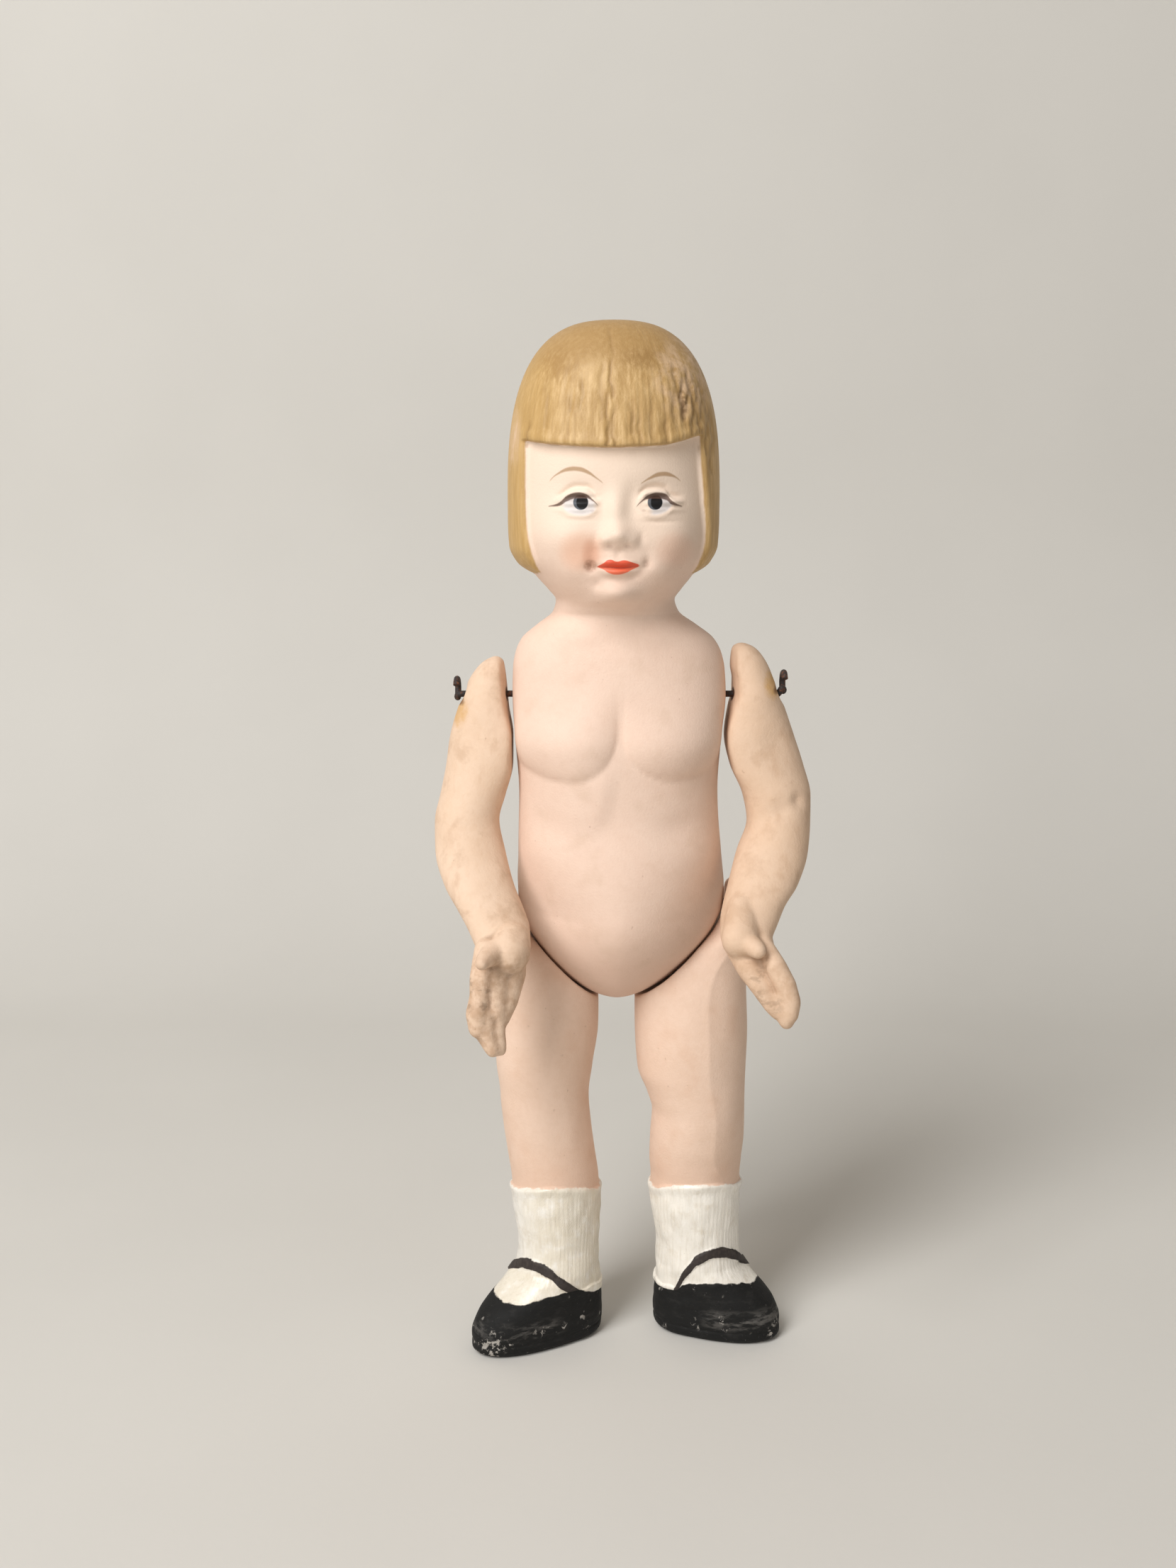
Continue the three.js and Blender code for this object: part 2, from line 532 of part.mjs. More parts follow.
// A wire straight across the doll whose two ends turn square and curl into an eye outside the limb
function wireGeometry(outer, y, z) {
  const plane = outer + EYE_GAP + WIRE_RADIUS;
  const eye = (side) => {
    const points = [
      new THREE.Vector3(side * (plane - 2 * WIRE_BEND), y, z),
      new THREE.Vector3(side * (plane - WIRE_BEND), y, z),
    ];
    for (let i = 1; i <= EYE_STEPS; i += 1) {
      const share = i / EYE_STEPS;
      const angle = THREE.MathUtils.degToRad(mix(-90, 210, share));
      const across = y + EYE_RADIUS * Math.cos(angle);
      const up = z + EYE_RADIUS * (1 + Math.sin(angle));
      points.push(new THREE.Vector3(side * (plane + EYE_SKEW * share), across, up));
    }
    return points;
  };
  const path = new THREE.CatmullRomCurve3([...eye(-1).reverse(), new THREE.Vector3(0, y, z), ...eye(1)]);
  path.getPointAt = path.getPoint;
  path.getTangentAt = path.getTangent;
  const section = new THREE.Shape().absarc(0, 0, WIRE_RADIUS, 0, 2 * Math.PI);
  const steps = 2 * (path.points.length - 1);
  return new THREE.ExtrudeGeometry(section, { steps, curveSegments: WIRE_SIDES / 2, extrudePath: path });
}

const BISQUE = { color: 0xe3c4ae, roughness: 0.62, metalness: 0 };
const ARM_BISQUE = { color: 0xd9b999, roughness: 0.66, metalness: 0 };
const IRON = { color: 0x3a2a22, roughness: 0.8, metalness: 0.5 };

function piece(name, geometry, finish) {
  const mesh = new THREE.Mesh(geometry, new THREE.MeshStandardMaterial(finish));
  mesh.name = name;
  return mesh;
}

const doll = new THREE.Group();
doll.add(piece('head_torso', toGeometry(headAndTorso()), BISQUE));
doll.add(piece('right_arm', toGeometry(armSolid(RIGHT_ARM)), ARM_BISQUE));
doll.add(piece('left_arm', toGeometry(armSolid(LEFT_ARM)), ARM_BISQUE));
doll.add(piece('right_leg', toGeometry(legSolid(RIGHT_LEG)), BISQUE));
doll.add(piece('left_leg', toGeometry(legSolid(LEFT_LEG)), BISQUE));
doll.add(piece('shoulder_wire', wireGeometry(armOuter, 0, SHOULDER_HEIGHT), IRON));
doll.add(piece('hip_wire', wireGeometry(hipOuter, HIP_SETBACK, HIP_HEIGHT), IRON));

// The origin is under the middle of the doll's box, on the surface it stands on
const middle = new THREE.Box3().setFromObject(doll).getCenter(new THREE.Vector3());
doll.position.set(-middle.x, -middle.y, 0);
const part = new THREE.Group();
part.add(doll);

export default part;
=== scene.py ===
import functools
import json
import math

import bpy
import numpy as np
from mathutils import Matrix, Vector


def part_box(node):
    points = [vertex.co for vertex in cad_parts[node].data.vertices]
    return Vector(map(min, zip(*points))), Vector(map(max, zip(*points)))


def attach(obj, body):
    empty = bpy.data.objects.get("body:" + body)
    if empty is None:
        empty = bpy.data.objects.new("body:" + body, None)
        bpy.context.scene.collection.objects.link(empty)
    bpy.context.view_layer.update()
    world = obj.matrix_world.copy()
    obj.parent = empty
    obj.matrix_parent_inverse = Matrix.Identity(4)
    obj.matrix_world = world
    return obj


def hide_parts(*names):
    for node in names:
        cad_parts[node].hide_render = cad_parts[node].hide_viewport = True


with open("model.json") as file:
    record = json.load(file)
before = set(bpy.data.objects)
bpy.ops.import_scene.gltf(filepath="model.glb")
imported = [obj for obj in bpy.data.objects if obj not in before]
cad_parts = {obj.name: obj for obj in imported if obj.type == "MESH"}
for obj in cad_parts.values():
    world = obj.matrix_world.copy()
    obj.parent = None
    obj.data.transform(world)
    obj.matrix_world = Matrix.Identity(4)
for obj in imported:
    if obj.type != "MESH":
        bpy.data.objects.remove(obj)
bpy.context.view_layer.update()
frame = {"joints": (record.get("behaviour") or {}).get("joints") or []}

# The viewpoint
# The lens is level with the doll's face and looks a little down on it. Everything is laid out in
# millimetres about the doll's own middle, which lies halfway between its two shoulder joints.
METRE = 1000
PHOTO_HEIGHT = 2212
FOCAL_PIXELS = 2300
SENSOR = 36
LENS_PLACE = (-4.99, -278.9, 151.4)
LENS_TILT = 10

joint = {entry["name"]: np.array(entry["pos_m"]) * METRE for entry in frame["joints"]}
middle = (joint["right_shoulder"] + joint["left_shoulder"]) / 2 * (1, 1, 0)
shoulder_height = joint["right_shoulder"][2]
hip_back, hip_height = (joint["right_hip"] - middle)[1:]


def placed(name, data):
    """A new object with this data, put into the scene."""
    thing = bpy.data.objects.new(name, data)
    bpy.context.scene.collection.objects.link(thing)
    return thing


camera = placed("lens", bpy.data.cameras.new("lens"))
camera.data.sensor_fit = "VERTICAL"
camera.data.sensor_height = SENSOR
camera.data.lens = SENSOR * FOCAL_PIXELS / PHOTO_HEIGHT
camera.data.clip_start = 0.01
camera.location = (np.array(LENS_PLACE) + middle) / METRE
camera.rotation_euler = (math.radians(90 - LENS_TILT), 0, 0)
bpy.context.scene.camera = camera

# Head and torso
# One hollow slip casting of pale pink bisque: trunk, stiff neck, and the head with its bob moulded on.
# Hair, brows, eyes and lips are painted by hand on the matte clay; the wires pass through small holes.
GRAIN_CELLS = (64, 256)


def ease(low, high, value):
    """Nought below low, one above high, and smooth between."""
    share = np.clip((value - low) / (high - low), 0, 1)
    return share * share * (3 - 2 * share)


def mix(a, b, share):
    return a + (b - a) * share


def curve(*points):
    """A smooth line through (place, size) points that never swings past them."""
    at, size = np.array(points, float).T
    step = np.diff(size) / np.diff(at)
    slope = np.concatenate([step[:1], np.zeros(len(step) - 1), step[-1:]])
    for i in range(1, len(step)):
        if step[i - 1] * step[i] > 0:
            slope[i] = 2 * step[i - 1] * step[i] / (step[i - 1] + step[i])

    def value(place):
        place = np.clip(place, at[0], at[-1])
        i = np.clip(np.searchsorted(at, place) - 1, 0, len(step) - 1)
        span = at[i + 1] - at[i]
        t = (place - at[i]) / span
        ends = (1 + 2 * t) * (1 - t) ** 2 * size[i] + t * t * (3 - 2 * t) * size[i + 1]
        return ends + span * (t * (1 - t) ** 2 * slope[i] + t * t * (t - 1) * slope[i + 1])

    return value


def hump(distance, width):
    """One along the middle of a soft round ridge, and nought a few widths away."""
    return np.exp(-((distance / width) ** 2))


def hills(x, z, rows):
    """Soft bumps and hollows: each row is place x, place z, spread x, spread z and height."""
    total = np.zeros_like(x)
    for at_x, at_z, wide, tall, height in rows:
        total += height * hump(x - at_x, wide) * hump(z - at_z, tall)
    return total


def grain(across, along, seed):
    """Smooth seeded noise, from -1 to 1, with one cell for each unit of across and along."""
    dice = np.random.default_rng(seed).uniform(-1, 1, GRAIN_CELLS)
    i, j = np.floor(along).astype(int), np.floor(across).astype(int)
    s, t = ease(0, 1, along - i), ease(0, 1, across - j)

    def throw(up, aside):
        return dice[(i + up) % GRAIN_CELLS[0], (j + aside) % GRAIN_CELLS[1]]

    return mix(mix(throw(0, 0), throw(0, 1), t), mix(throw(1, 0), throw(1, 1), t), s)


def oval(turn, half, front, back, power, flat):
    """Across and along on a level section; turn 0 faces the front."""
    along = np.cos(turn)
    across = np.sign(np.sin(turn)) * half * (1 - np.abs(along) ** power) ** flat
    return across, -along * np.where(along > 0, front, back)


def rings_of(x, y, z):
    """Rings of points with these places, each spread over the others' rows and columns."""
    return np.stack(np.broadcast_arrays(x, y, z), -1)


def closed(rings, first=0):
    """Points and faces of a closed form over rings of points from low to high, numbered from first on."""
    count, sides = rings.shape[:2]
    points = np.concatenate([rings.reshape(-1, 3), rings[:1].mean(1), rings[-1:].mean(1)])
    ring = first + np.arange(count * sides).reshape(count, sides)
    after = np.roll(ring, -1, 1)
    walls = np.stack([ring[:-1], after[:-1], after[1:], ring[1:]], -1).reshape(-1, 4)
    low, high = first + count * sides, first + count * sides + 1
    caps = [(low, b, a) for a, b in zip(ring[0], after[0])]
    caps += [(high, a, b) for a, b in zip(ring[-1], after[-1])]
    return points, walls.tolist() + caps


def skin(name, rings, marks):
    """A piece over rings of points, with a value for each point in each mark."""
    points, faces = closed(rings)
    mesh = bpy.data.meshes.new(name)
    mesh.from_pydata(((points + middle) / METRE).tolist(), [], faces)
    mesh.shade_smooth()
    for mark, values in marks.items():
        values = np.concatenate([values.ravel(), values[:1].mean(1), values[-1:].mean(1)])
        mesh.attributes.new(mark, "FLOAT", "POINT").data.foreach_set("value", values.astype(np.float32))
    return placed(name, mesh)


class Shade:
    """A socket in a tree of nodes. Sums of these add Math nodes to the tree."""

    def __init__(self, tree, socket=None):
        self.tree = tree
        self.socket = socket

    def node(self, kind, settings=(), sockets=(), out=0):
        """The output of a new node. The type of a shader node goes without its first two words."""
        made = self.tree.nodes.new(kind if "Node" in kind else "ShaderNode" + kind)
        for name, value in dict(settings).items():
            if name == "points":
                line = made.mapping.curves[0].points
                line[0].location, line[1].location = value[0], value[-1]
                for point in value[1:-1]:
                    line.new(*point)
                made.mapping.update()
            else:
                setattr(made, name, value)
        for key, value in dict(sockets).items():
            if isinstance(value, Shade):
                self.tree.links.new(value.socket, made.inputs[key])
            else:
                made.inputs[key].default_value = value
        return Shade(self.tree, made.outputs[out] if made.outputs else None)

    def math(self, operation, *others):
        return self.node("Math", {"operation": operation}, dict(enumerate((self, *others))))

    def __rsub__(self, other):
        return self.node("Math", {"operation": "SUBTRACT"}, {0: other, 1: self})

    __add__ = __radd__ = functools.partialmethod(math, "ADD")
    __sub__ = functools.partialmethod(math, "SUBTRACT")
    __mul__ = __rmul__ = functools.partialmethod(math, "MULTIPLY")
    __truediv__ = functools.partialmethod(math, "DIVIDE")
    __abs__ = functools.partialmethod(math, "ABSOLUTE")

    def ease(self, low, high):
        return self.node("MapRange", {"interpolation_type": "SMOOTHSTEP"}, {0: self, 1: low, 2: high})

    def under(self, mask, colour):
        """This colour with another laid over it where the mask is one."""
        return self.node("Mix", {"data_type": "RGBA"}, {0: mask, 6: self, 7: colour}, out=2)

    def flat(self, red, green, blue):
        """One plain colour to lay others over."""
        return self.node("RGB").under(1.0, srgb(red, green, blue))

    def coats(self, *layers):
        """This colour with paint laid over it in turn: the mask, strength and tint of each layer."""
        colour = self
        for mask, strength, tint in layers:
            colour = colour.under(mask * strength, srgb(*tint))
        return colour

    def line(self, points):
        """A smooth painted line: its height at this place, through (place, height) points."""
        at, height = np.array(points, float).T
        low, span = height.min() - 1, np.ptp(height) + 2
        reach = np.ptp(at)
        share = np.stack([(at - at[0]) / reach, (height - low) / span], -1).tolist()
        return self.node("FloatCurve", {"points": share}, {"Value": (self - at[0]) / reach}) * span + low

    def noise(self, size, detail=2.0, rough=0.5):
        """Noise on this vector with one lump for each size in millimetres."""
        sockets = {"Vector": self, "Scale": 1 / size, "Detail": detail, "Roughness": rough}
        return self.node("TexNoise", {}, sockets)

    def stretch(self, x, y, z):
        return self.node("VectorMath", {"operation": "MULTIPLY"}, {0: self, 1: (x, y, z)})

    def mark(self, name):
        return self.node("Attribute", {"attribute_name": name}, out="Fac")


def srgb(red, green, blue):
    """A colour as it is seen on a screen, from 0 to 255, made linear."""
    parts = (np.array([red, green, blue]) / 255 + 0.055) / 1.055
    return (*parts**2.4, 1)


def new_finish(name):
    """A fresh material: its tree, and the doll's own millimetres as a vector and as three numbers."""
    material = bpy.data.materials.new(name)
    material.use_nodes = True
    material.node_tree.nodes.clear()
    tree = Shade(material.node_tree)
    place = tree.node("TexCoord", out="Object")
    doll = tree.node("Mapping", {}, {0: place, 1: -middle, 3: (METRE, METRE, METRE)})
    parts = [doll.node("SeparateXYZ", {}, {0: doll}, out=i) for i in range(3)]
    return material, doll, parts


def clay(doll, pale, deep):
    """Tinted bisque: cloudy colour, a fine matte grain, and a few dark specks from the kiln."""
    cloud = doll.noise(9, 3).ease(0.35, 0.65)
    fleck = doll.noise(1.1, 4, 0.6).ease(0.42, 0.62)
    speck = doll.noise(0.55, 0).ease(0.86, 0.89)
    return doll.flat(*pale).coats((cloud * 0.35 + fleck * 0.2, 1, deep), (speck, 0.3, (150, 115, 95)))


def fire(material, colour, rough, relief, depth, gloss, glaze=0.0):
    """Puts a finish together: colour, roughness, and a fine relief of the given depth in millimetres."""
    bump = colour.node("Bump", {}, {"Strength": 1.0, "Distance": depth / METRE, "Height": relief})
    surface = colour.node("BsdfPrincipled", {}, {
        "Base Color": colour, "Roughness": rough, "Normal": bump, "Specular IOR Level": gloss,
        "Coat Weight": glaze, "Coat Roughness": 0.35,
    })
    colour.node("OutputMaterial", {}, {0: surface})
    return material


MATTE = 0.62
CROWN = 180.0
TEMPLE = 150.0
SEAT_RADIUS = 17.0
BELLY_HALF = 18.2
SEAT_BACK = 10.0
SEAT_POWER = 1.35
SEAT_FLAT = 0.57
HAIR_HALF = 17.8
HAIR_FRONT = 17.2
HAIR_BACK = 18.0
HAIR_THICK = 1.1
ROUND = 2.75
HEAD_POWER = 2.1
HEAD_FLAT = 0.48
CHEST_RISE = 26

trunk_half = curve((80.5, 18.2), (84, 18.2), (90.4, 17.75), (101.7, 17.2), (110.4, 17.75), (118, 18.3),
                   (122.7, 18.1), (125.2, 17.6), (127.6, 16.4), (130, 13.5), (132.2, 10.7), (134.2, 10.1),
                   (136, 11.3), (138, 13), (141.6, 15.6), (145.8, 16.55), (150, 16.7))
trunk_front = curve((80.5, 14), (85.7, 13.5), (91.3, 12.8), (98, 12.1), (108, 12.4), (118, 11.4),
                    (124.7, 10.4), (129, 9.7), (131.6, 9.9), (133.2, 11.4), (134.8, 13.4), (137, 14.8),
                    (141.6, 15.7), (146, 16.1), (150, 16.1))
trunk_back = curve((80.5, 13), (85.7, 12), (91.3, 11.2), (98, 10.8), (108, 12.2), (118, 11.9), (124.7, 11),
                   (127.6, 10.4), (133, 10), (136, 11), (141.6, 14.8), (145.8, 16.5), (150, 16.9))
trunk_middle = curve((80.5, hip_back), (85.7, 1.8), (91.3, 0.6), (98, 0))
trunk_power = curve((80.5, SEAT_POWER), (86, 1.7), (92, 2.1), (98, 2.2), (118, 2.2), (127, 2),
                    (141, HEAD_POWER), (150, HEAD_POWER))
trunk_flat = curve((80.5, SEAT_FLAT), (86, 0.53), (92, 0.49), (98, 0.48), (108, 0.46), (118, 0.46),
                   (127, 0.5), (141, 0.5), (150, HEAD_FLAT))
body_lean = curve((63.5, 0.1), (70, 0.4), (76, 0.8), (82, 0.85), (88, 0.65), (98, 0.3), (110, 0.2),
                  (118, 0.35), (125, 0.2), (133, -0.3), (142, -0.7), (150, -0.7))
bob_share = curve((138, 0.62), (138.8, 0.78), (140.6, 0.92), (143.4, 0.99), (147.6, 1), (150, 1))

# The face window in the hair: fringe line and the two sides
fringe = curve((-16, 161), (-14.9, 160.4), (-8.3, 159.4), (-1.5, 159.05), (6.2, 159.4), (12.1, 161),
               (14, 161.6))
window_right = curve((137, -11.6), (142.3, -13.5), (147, -14.5), (153, -14.8), (160, -14.7), (162, -14.6))
window_left = curve((137, 11.2), (142.3, 13.1), (145.8, 13.7), (151.5, 13.4), (158, 12.8), (162, 12.6))

# Painted lines of the face, as places across and up
LASHES = (
    ((-11.4, 149.85), (-9.7, 150.15), (-8.3, 151.1), (-7, 151.55), (-5.45, 151.5), (-4.3, 150.85),
     (-3.4, 149.95)),
    ((2.7, 149.75), (3.6, 150.7), (4.7, 151.35), (6.1, 151.55), (7.5, 151.3), (8.4, 150.45),
     (10.2, 149.85)),
)
LOWER_LIDS = (
    ((-9, 149.55), (-7.7, 148.7), (-6, 148.45), (-4.3, 148.85), (-3.6, 149.55)),
    ((3, 149.45), (4.15, 148.7), (5.7, 148.5), (7.25, 148.9), (8.25, 149.7)),
)
BROWS = (
    ((-11.2, 153.8), (-9.8, 155), (-8, 155.7), (-6.5, 155.7), (-5, 155.2), (-3.8, 154.4), (-2.6, 153.5)),
    ((3.4, 153.4), (4.9, 154.3), (6.5, 154.9), (8.2, 154.8), (9.9, 153.8)),
)
EYES = ((-6.15, 150.5), (5.7, 150.5))
LIP_TOP = ((-3.6, 140.35), (-2.5, 140.95), (-1.5, 141.5), (-0.4, 141.2), (0.8, 141.4), (2, 141.1),
           (3.4, 140.6))
LIP_SEAM = ((-3.6, 140.3), (-1.2, 140.25), (0.1, 140.05), (1.6, 140.25), (3.2, 140.45))
LIP_LOW = ((-3.6, 140.25), (-2.6, 139.9), (-1.6, 139.3), (-0.4, 139.05), (1, 139.3), (2, 139.8),
           (3.4, 140.4))

# Rows for hills: sockets, lids, nose, lips, chin and cheeks; then belly and collar; then seat and blades
FACE = (
    (-6.2, 152.3, 4.2, 2.2, -0.5), (5.9, 152.2, 4.2, 2.2, -0.5),
    (-2.9, 150.4, 1.3, 2.2, -0.3), (2.2, 150.4, 1.5, 2.6, -0.45),
    (-6.2, 150.1, 3, 1.6, 0.6), (5.8, 150, 3, 1.6, 0.6),
    (-0.5, 149, 1.6, 3, 0.7), (-0.3, 145.3, 2.1, 1.75, 1.9),
    (-2.3, 144.6, 0.9, 0.9, 0.55), (2.1, 144.5, 1.05, 1.1, 0.45),
    (0, 142.9, 2.5, 0.6, -0.28), (-1.4, 143.7, 0.5, 0.32, -0.22), (1.2, 143.7, 0.5, 0.35, -0.22),
    (-3.5, 145, 0.6, 1, -0.15), (3.5, 144.9, 0.6, 1, -0.15),
    (-4.1, 142.4, 0.8, 1.8, -0.25), (4.4, 142.4, 1, 1.2, -0.15),
    (-0.15, 142.3, 0.6, 0.7, -0.22), (-0.2, 141, 4, 2.6, 0.85),
    (-1.4, 141, 1.2, 0.45, 0.42), (1.2, 141, 1.2, 0.45, 0.42),
    (-0.2, 139.45, 1.6, 0.5, 0.65), (-0.2, 140.15, 2.9, 0.2, -0.5),
    (-4.4, 140.3, 0.9, 0.9, -0.6), (4.4, 140.9, 0.7, 0.9, -0.45),
    (3.5, 139.6, 0.8, 0.8, -0.25), (2.3, 138.7, 1, 0.6, -0.25), (-0.3, 138.35, 1.8, 0.6, -0.4),
    (-0.5, 135.6, 3, 1.9, 1.7), (-3.4, 137.4, 0.7, 0.8, -0.2),
    (-8.8, 144.6, 4.2, 4.4, 1.35), (8.6, 144.4, 4.2, 4.4, 1.3),
    (-6.9, 139.2, 2.9, 2.7, 0.75), (6.6, 139.2, 2.9, 2.7, 0.75),
    (6.3, 147.4, 2.3, 0.35, -0.18), (6.3, 148.1, 2.3, 0.5, 0.1), (-6, 147.8, 2.4, 0.4, -0.1),
)
TRUNK = (
    (10.5, 96.3, 4.5, 2.8, -0.5), (-12.5, 96.8, 3.5, 3, -0.3), (0, 88, 12, 7, 0.7), (0, 70.5, 8, 5.5, -1),
    (-6, 128.5, 3.2, 1.5, 0.35), (6, 128.5, 3.2, 1.5, 0.35),
)
# Chest folds: middle across and up, half width inside and outside, reach below, height
CHEST = ((-8.3, 112.5, 7.9, 12, 8.1, 2.1), (9.5, 112, 9, 9.5, 7.3, 2.1))
RIB_EDGE = curve((94.2, -4.5), (95.4, -3), (98.2, -1.5), (101.6, -0.6), (105.2, 0))
BACK = (
    (0, 75, 1.2, 6.5, -1.1), (-7, 76, 6, 6, 0.8), (7, 76, 6, 6, 0.8), (0, 104, 2.6, 14, -0.9),
    (-8.5, 113, 5, 6, 0.9), (8.5, 113, 5, 6, 0.9),
)
# Locks combed into the fringe: place, top, bottom, depth and width
LOCKS = (
    (-1.2, 178, 173.5, 0.14, 0.3), (-1.3, 172.5, 166.6, 0.36, 0.24), (-1.9, 167.2, 159.3, 0.36, 0.25),
    (-1, 165, 159.3, 0.3, 0.24), (-2.9, 172, 163.5, 0.18, 0.4), (-5.9, 169.5, 165, 0.22, 0.4),
    (-7.7, 167.5, 164.5, 0.2, 0.45), (-11.4, 170, 162, 0.12, 0.5), (-14.8, 163, 160, 0.25, 0.25),
    (1.8, 166, 161, 0.2, 0.32), (3.1, 164, 159.5, 0.14, 0.3), (5, 168, 160, 0.12, 0.35),
    (7.5, 164, 159.8, 0.2, 0.3), (8.7, 172, 163, 0.18, 0.4), (10, 169.5, 163.5, 0.5, 0.35),
    (10.8, 171, 164, 0.35, 0.3), (11.7, 170, 161.5, 0.28, 0.28), (12.5, 169, 161.5, 0.25, 0.25),
    (13.3, 170, 160, 0.25, 0.28), (14.3, 168, 158, 0.22, 0.3), (15.2, 166, 155, 0.2, 0.3),
)

# Rings from the seat up to the crown, closest together in the face, with more points round the front
COLUMNS = 280
FRONT_CROWDING = 0.45
END_ROWS = 44
NECK = 132
FOREHEAD = 163
share = np.arange(COLUMNS) / COLUMNS * 2 * math.pi
turn = (share - FRONT_CROWDING * np.sin(share))[None]
low_rows = hip_height - SEAT_RADIUS * np.cos(math.pi / 2 * np.arange(1, END_ROWS) / END_ROWS)
trunk_rows = np.arange(hip_height, NECK, 0.6)
face_rows = np.arange(NECK, FOREHEAD - 0.2, 0.21)
rise = np.linspace(math.asin((FOREHEAD - TEMPLE) / (CROWN - TEMPLE)), math.radians(88.7), END_ROWS)
top_rows = TEMPLE + (CROWN - TEMPLE) * np.sin(rise)
z = np.concatenate([low_rows, trunk_rows, face_rows, top_rows])[:, None]


def seat_half(distance, spare=0.0):
    """Half width of the round seat at a distance from the hip axis."""
    inside = np.clip(1 - (distance / (SEAT_RADIUS + spare)) ** SEAT_POWER, 0, 1)
    return (BELLY_HALF + spare) * inside**SEAT_FLAT


def dome(height, top):
    """Share of its full width that the round head keeps at a height above the temples."""
    rise = np.clip((height - TEMPLE) / (top - TEMPLE), 0, 1)
    return (1 - rise**ROUND) ** (1 / ROUND)


# Trunk and flesh of the head
shrink = dome(np.minimum(z, CROWN - HAIR_THICK - 0.4), CROWN - HAIR_THICK)
half, front, back = (line(z) * shrink for line in (trunk_half, trunk_front, trunk_back))
centre = trunk_middle(z)
x, y = oval(turn, half, front + centre, back - centre, trunk_power(z), trunk_flat(z))
drop = np.clip(hip_height - z, 0, SEAT_RADIUS)
reach = np.sqrt(SEAT_RADIUS**2 - drop**2)
forward = -np.cos(turn)
turned = seat_half(np.hypot(drop, forward * reach))
seat_x = np.sign(np.sin(turn)) * turned
seat_y = forward * reach * np.where(forward < 0, 1, SEAT_BACK / SEAT_RADIUS)
x = np.where(drop > 0, seat_x, x)
y = np.where(drop > 0, seat_y, y) + centre
lean = body_lean(z)

# Moulded bob over the flesh, left open for the face
wide = np.where(z > TEMPLE, dome(z, CROWN), bob_share(z))
bob_x, bob_y = oval(turn, HAIR_HALF * wide, HAIR_FRONT * wide, HAIR_BACK * wide, HEAD_POWER, HEAD_FLAT)
proud = (np.hypot(bob_x, bob_y) > np.hypot(x, y)) | (z > FOREHEAD)
face_x = x + lean
soft = 0.3
window = ease(-soft, soft, face_x - window_right(z)) * ease(-soft, soft, window_left(z) - face_x)
window = window * ease(-soft, soft, fringe(face_x) - z) * (np.cos(turn) > 0)
hair = np.where(proud, 1 - window, 0) * ease(137.6, 138.6, z)
out = np.stack([x / half**2, (y - centre) / np.where(y < centre, front, back) ** 2], -1)
out = out / np.linalg.norm(out, axis=-1, keepdims=True)
x, y = mix(x, bob_x, hair), mix(y, bob_y, hair)

# Relief: features on the front, combed locks in the hair, seat and shoulder blades behind
ahead = ease(0.1, 0.5, np.cos(turn))
behind = ease(0.1, 0.5, -np.cos(turn))
bare = (1 - hair) * ahead
relief = hills(x + lean, z, FACE) * bare * ease(131, 135, z)
relief += hills(x, z, TRUNK) * ahead + hills(x, z, BACK) * behind
for at_x, at_z, inside, outside, below, height in CHEST:
    wide = np.where((x - at_x) * at_x > 0, outside, inside)
    away = np.hypot((x - at_x) / wide, (z - at_z) / np.where(z < at_z, below, CHEST_RISE))
    relief += height * np.clip(1 - away**2, 0, 1) ** 0.8 * ease(at_z + 9, at_z - 3, z) * ahead
rib = RIB_EDGE(z)
rib_run = ease(-15, -6, x) * ease(94, 99.5, z) * ease(109, 103, z) * ahead
relief += 0.5 * ease(rib + 0.6, rib - 3, x) * rib_run
for lash, lid in zip(LASHES, LOWER_LIDS):
    at = curve(*lash)(x + lean)
    near, far = sorted((abs(lash[0][0]), abs(lash[-1][0])))
    ends = ease(far - 0.6, far - 2.4, np.abs(x + lean)) * ease(near, near + 1.4, np.abs(x + lean))
    relief += 0.4 * hump(z - at - 0.62, 0.42) * ends * bare
    relief -= 0.36 * hump(z - at - 1.45, 0.5) * ends * bare
    under = curve(*lid)(x + lean)
    relief -= 0.2 * ease(-0.1, 0.3, at - z) * ease(-0.1, 0.3, z - under) * ends * bare
    relief += 0.12 * hump(z - under + 0.3, 0.35) * ends * bare
comb = grain(turn * 36 + 0.5 * np.sin(z / 5), z / 9, 3) * 0.6 + grain(turn * 75, z / 6, 4) * 0.4
cuts = np.zeros_like(x)
for at, top, bottom, depth, width in LOCKS:
    wander = at + 0.22 * np.sin(z * 0.9 + at * 3) + 0.12 * np.sin(z * 2.3 + at)
    run = ease(bottom - 0.4, bottom + 0.3, z) * ease(top + 1.2, top - 1.2, z)
    cuts += depth * run * hump(x + lean - wander, width) * ahead
below_crown = ease(173, 165, z) * ease(16, 12, np.abs(x)) * ahead
relief += hair * 0.3 * ease(175.5, 171.5, z) * ease(15, 11, np.abs(x)) * ahead
relief += hair * (0.16 * comb * mix(0.3, 1, below_crown) * mix(0.55, 1, ease(-5, -1, x)) - cuts)
relief += hair * 0.25 * hump(z - fringe(x + lean) - 0.8, 0.8) * ahead * ease(17, 13, np.abs(x))
x, y = x + relief * out[..., 0] + lean, y + relief * out[..., 1]
groove = hair * np.clip(cuts * 2.2 + np.clip(-comb, 0, 1) * 0.35 * below_crown, 0, 1)
head_torso = skin("head_torso_casting", rings_of(x, y, z), {"hair": hair, "groove": groove})

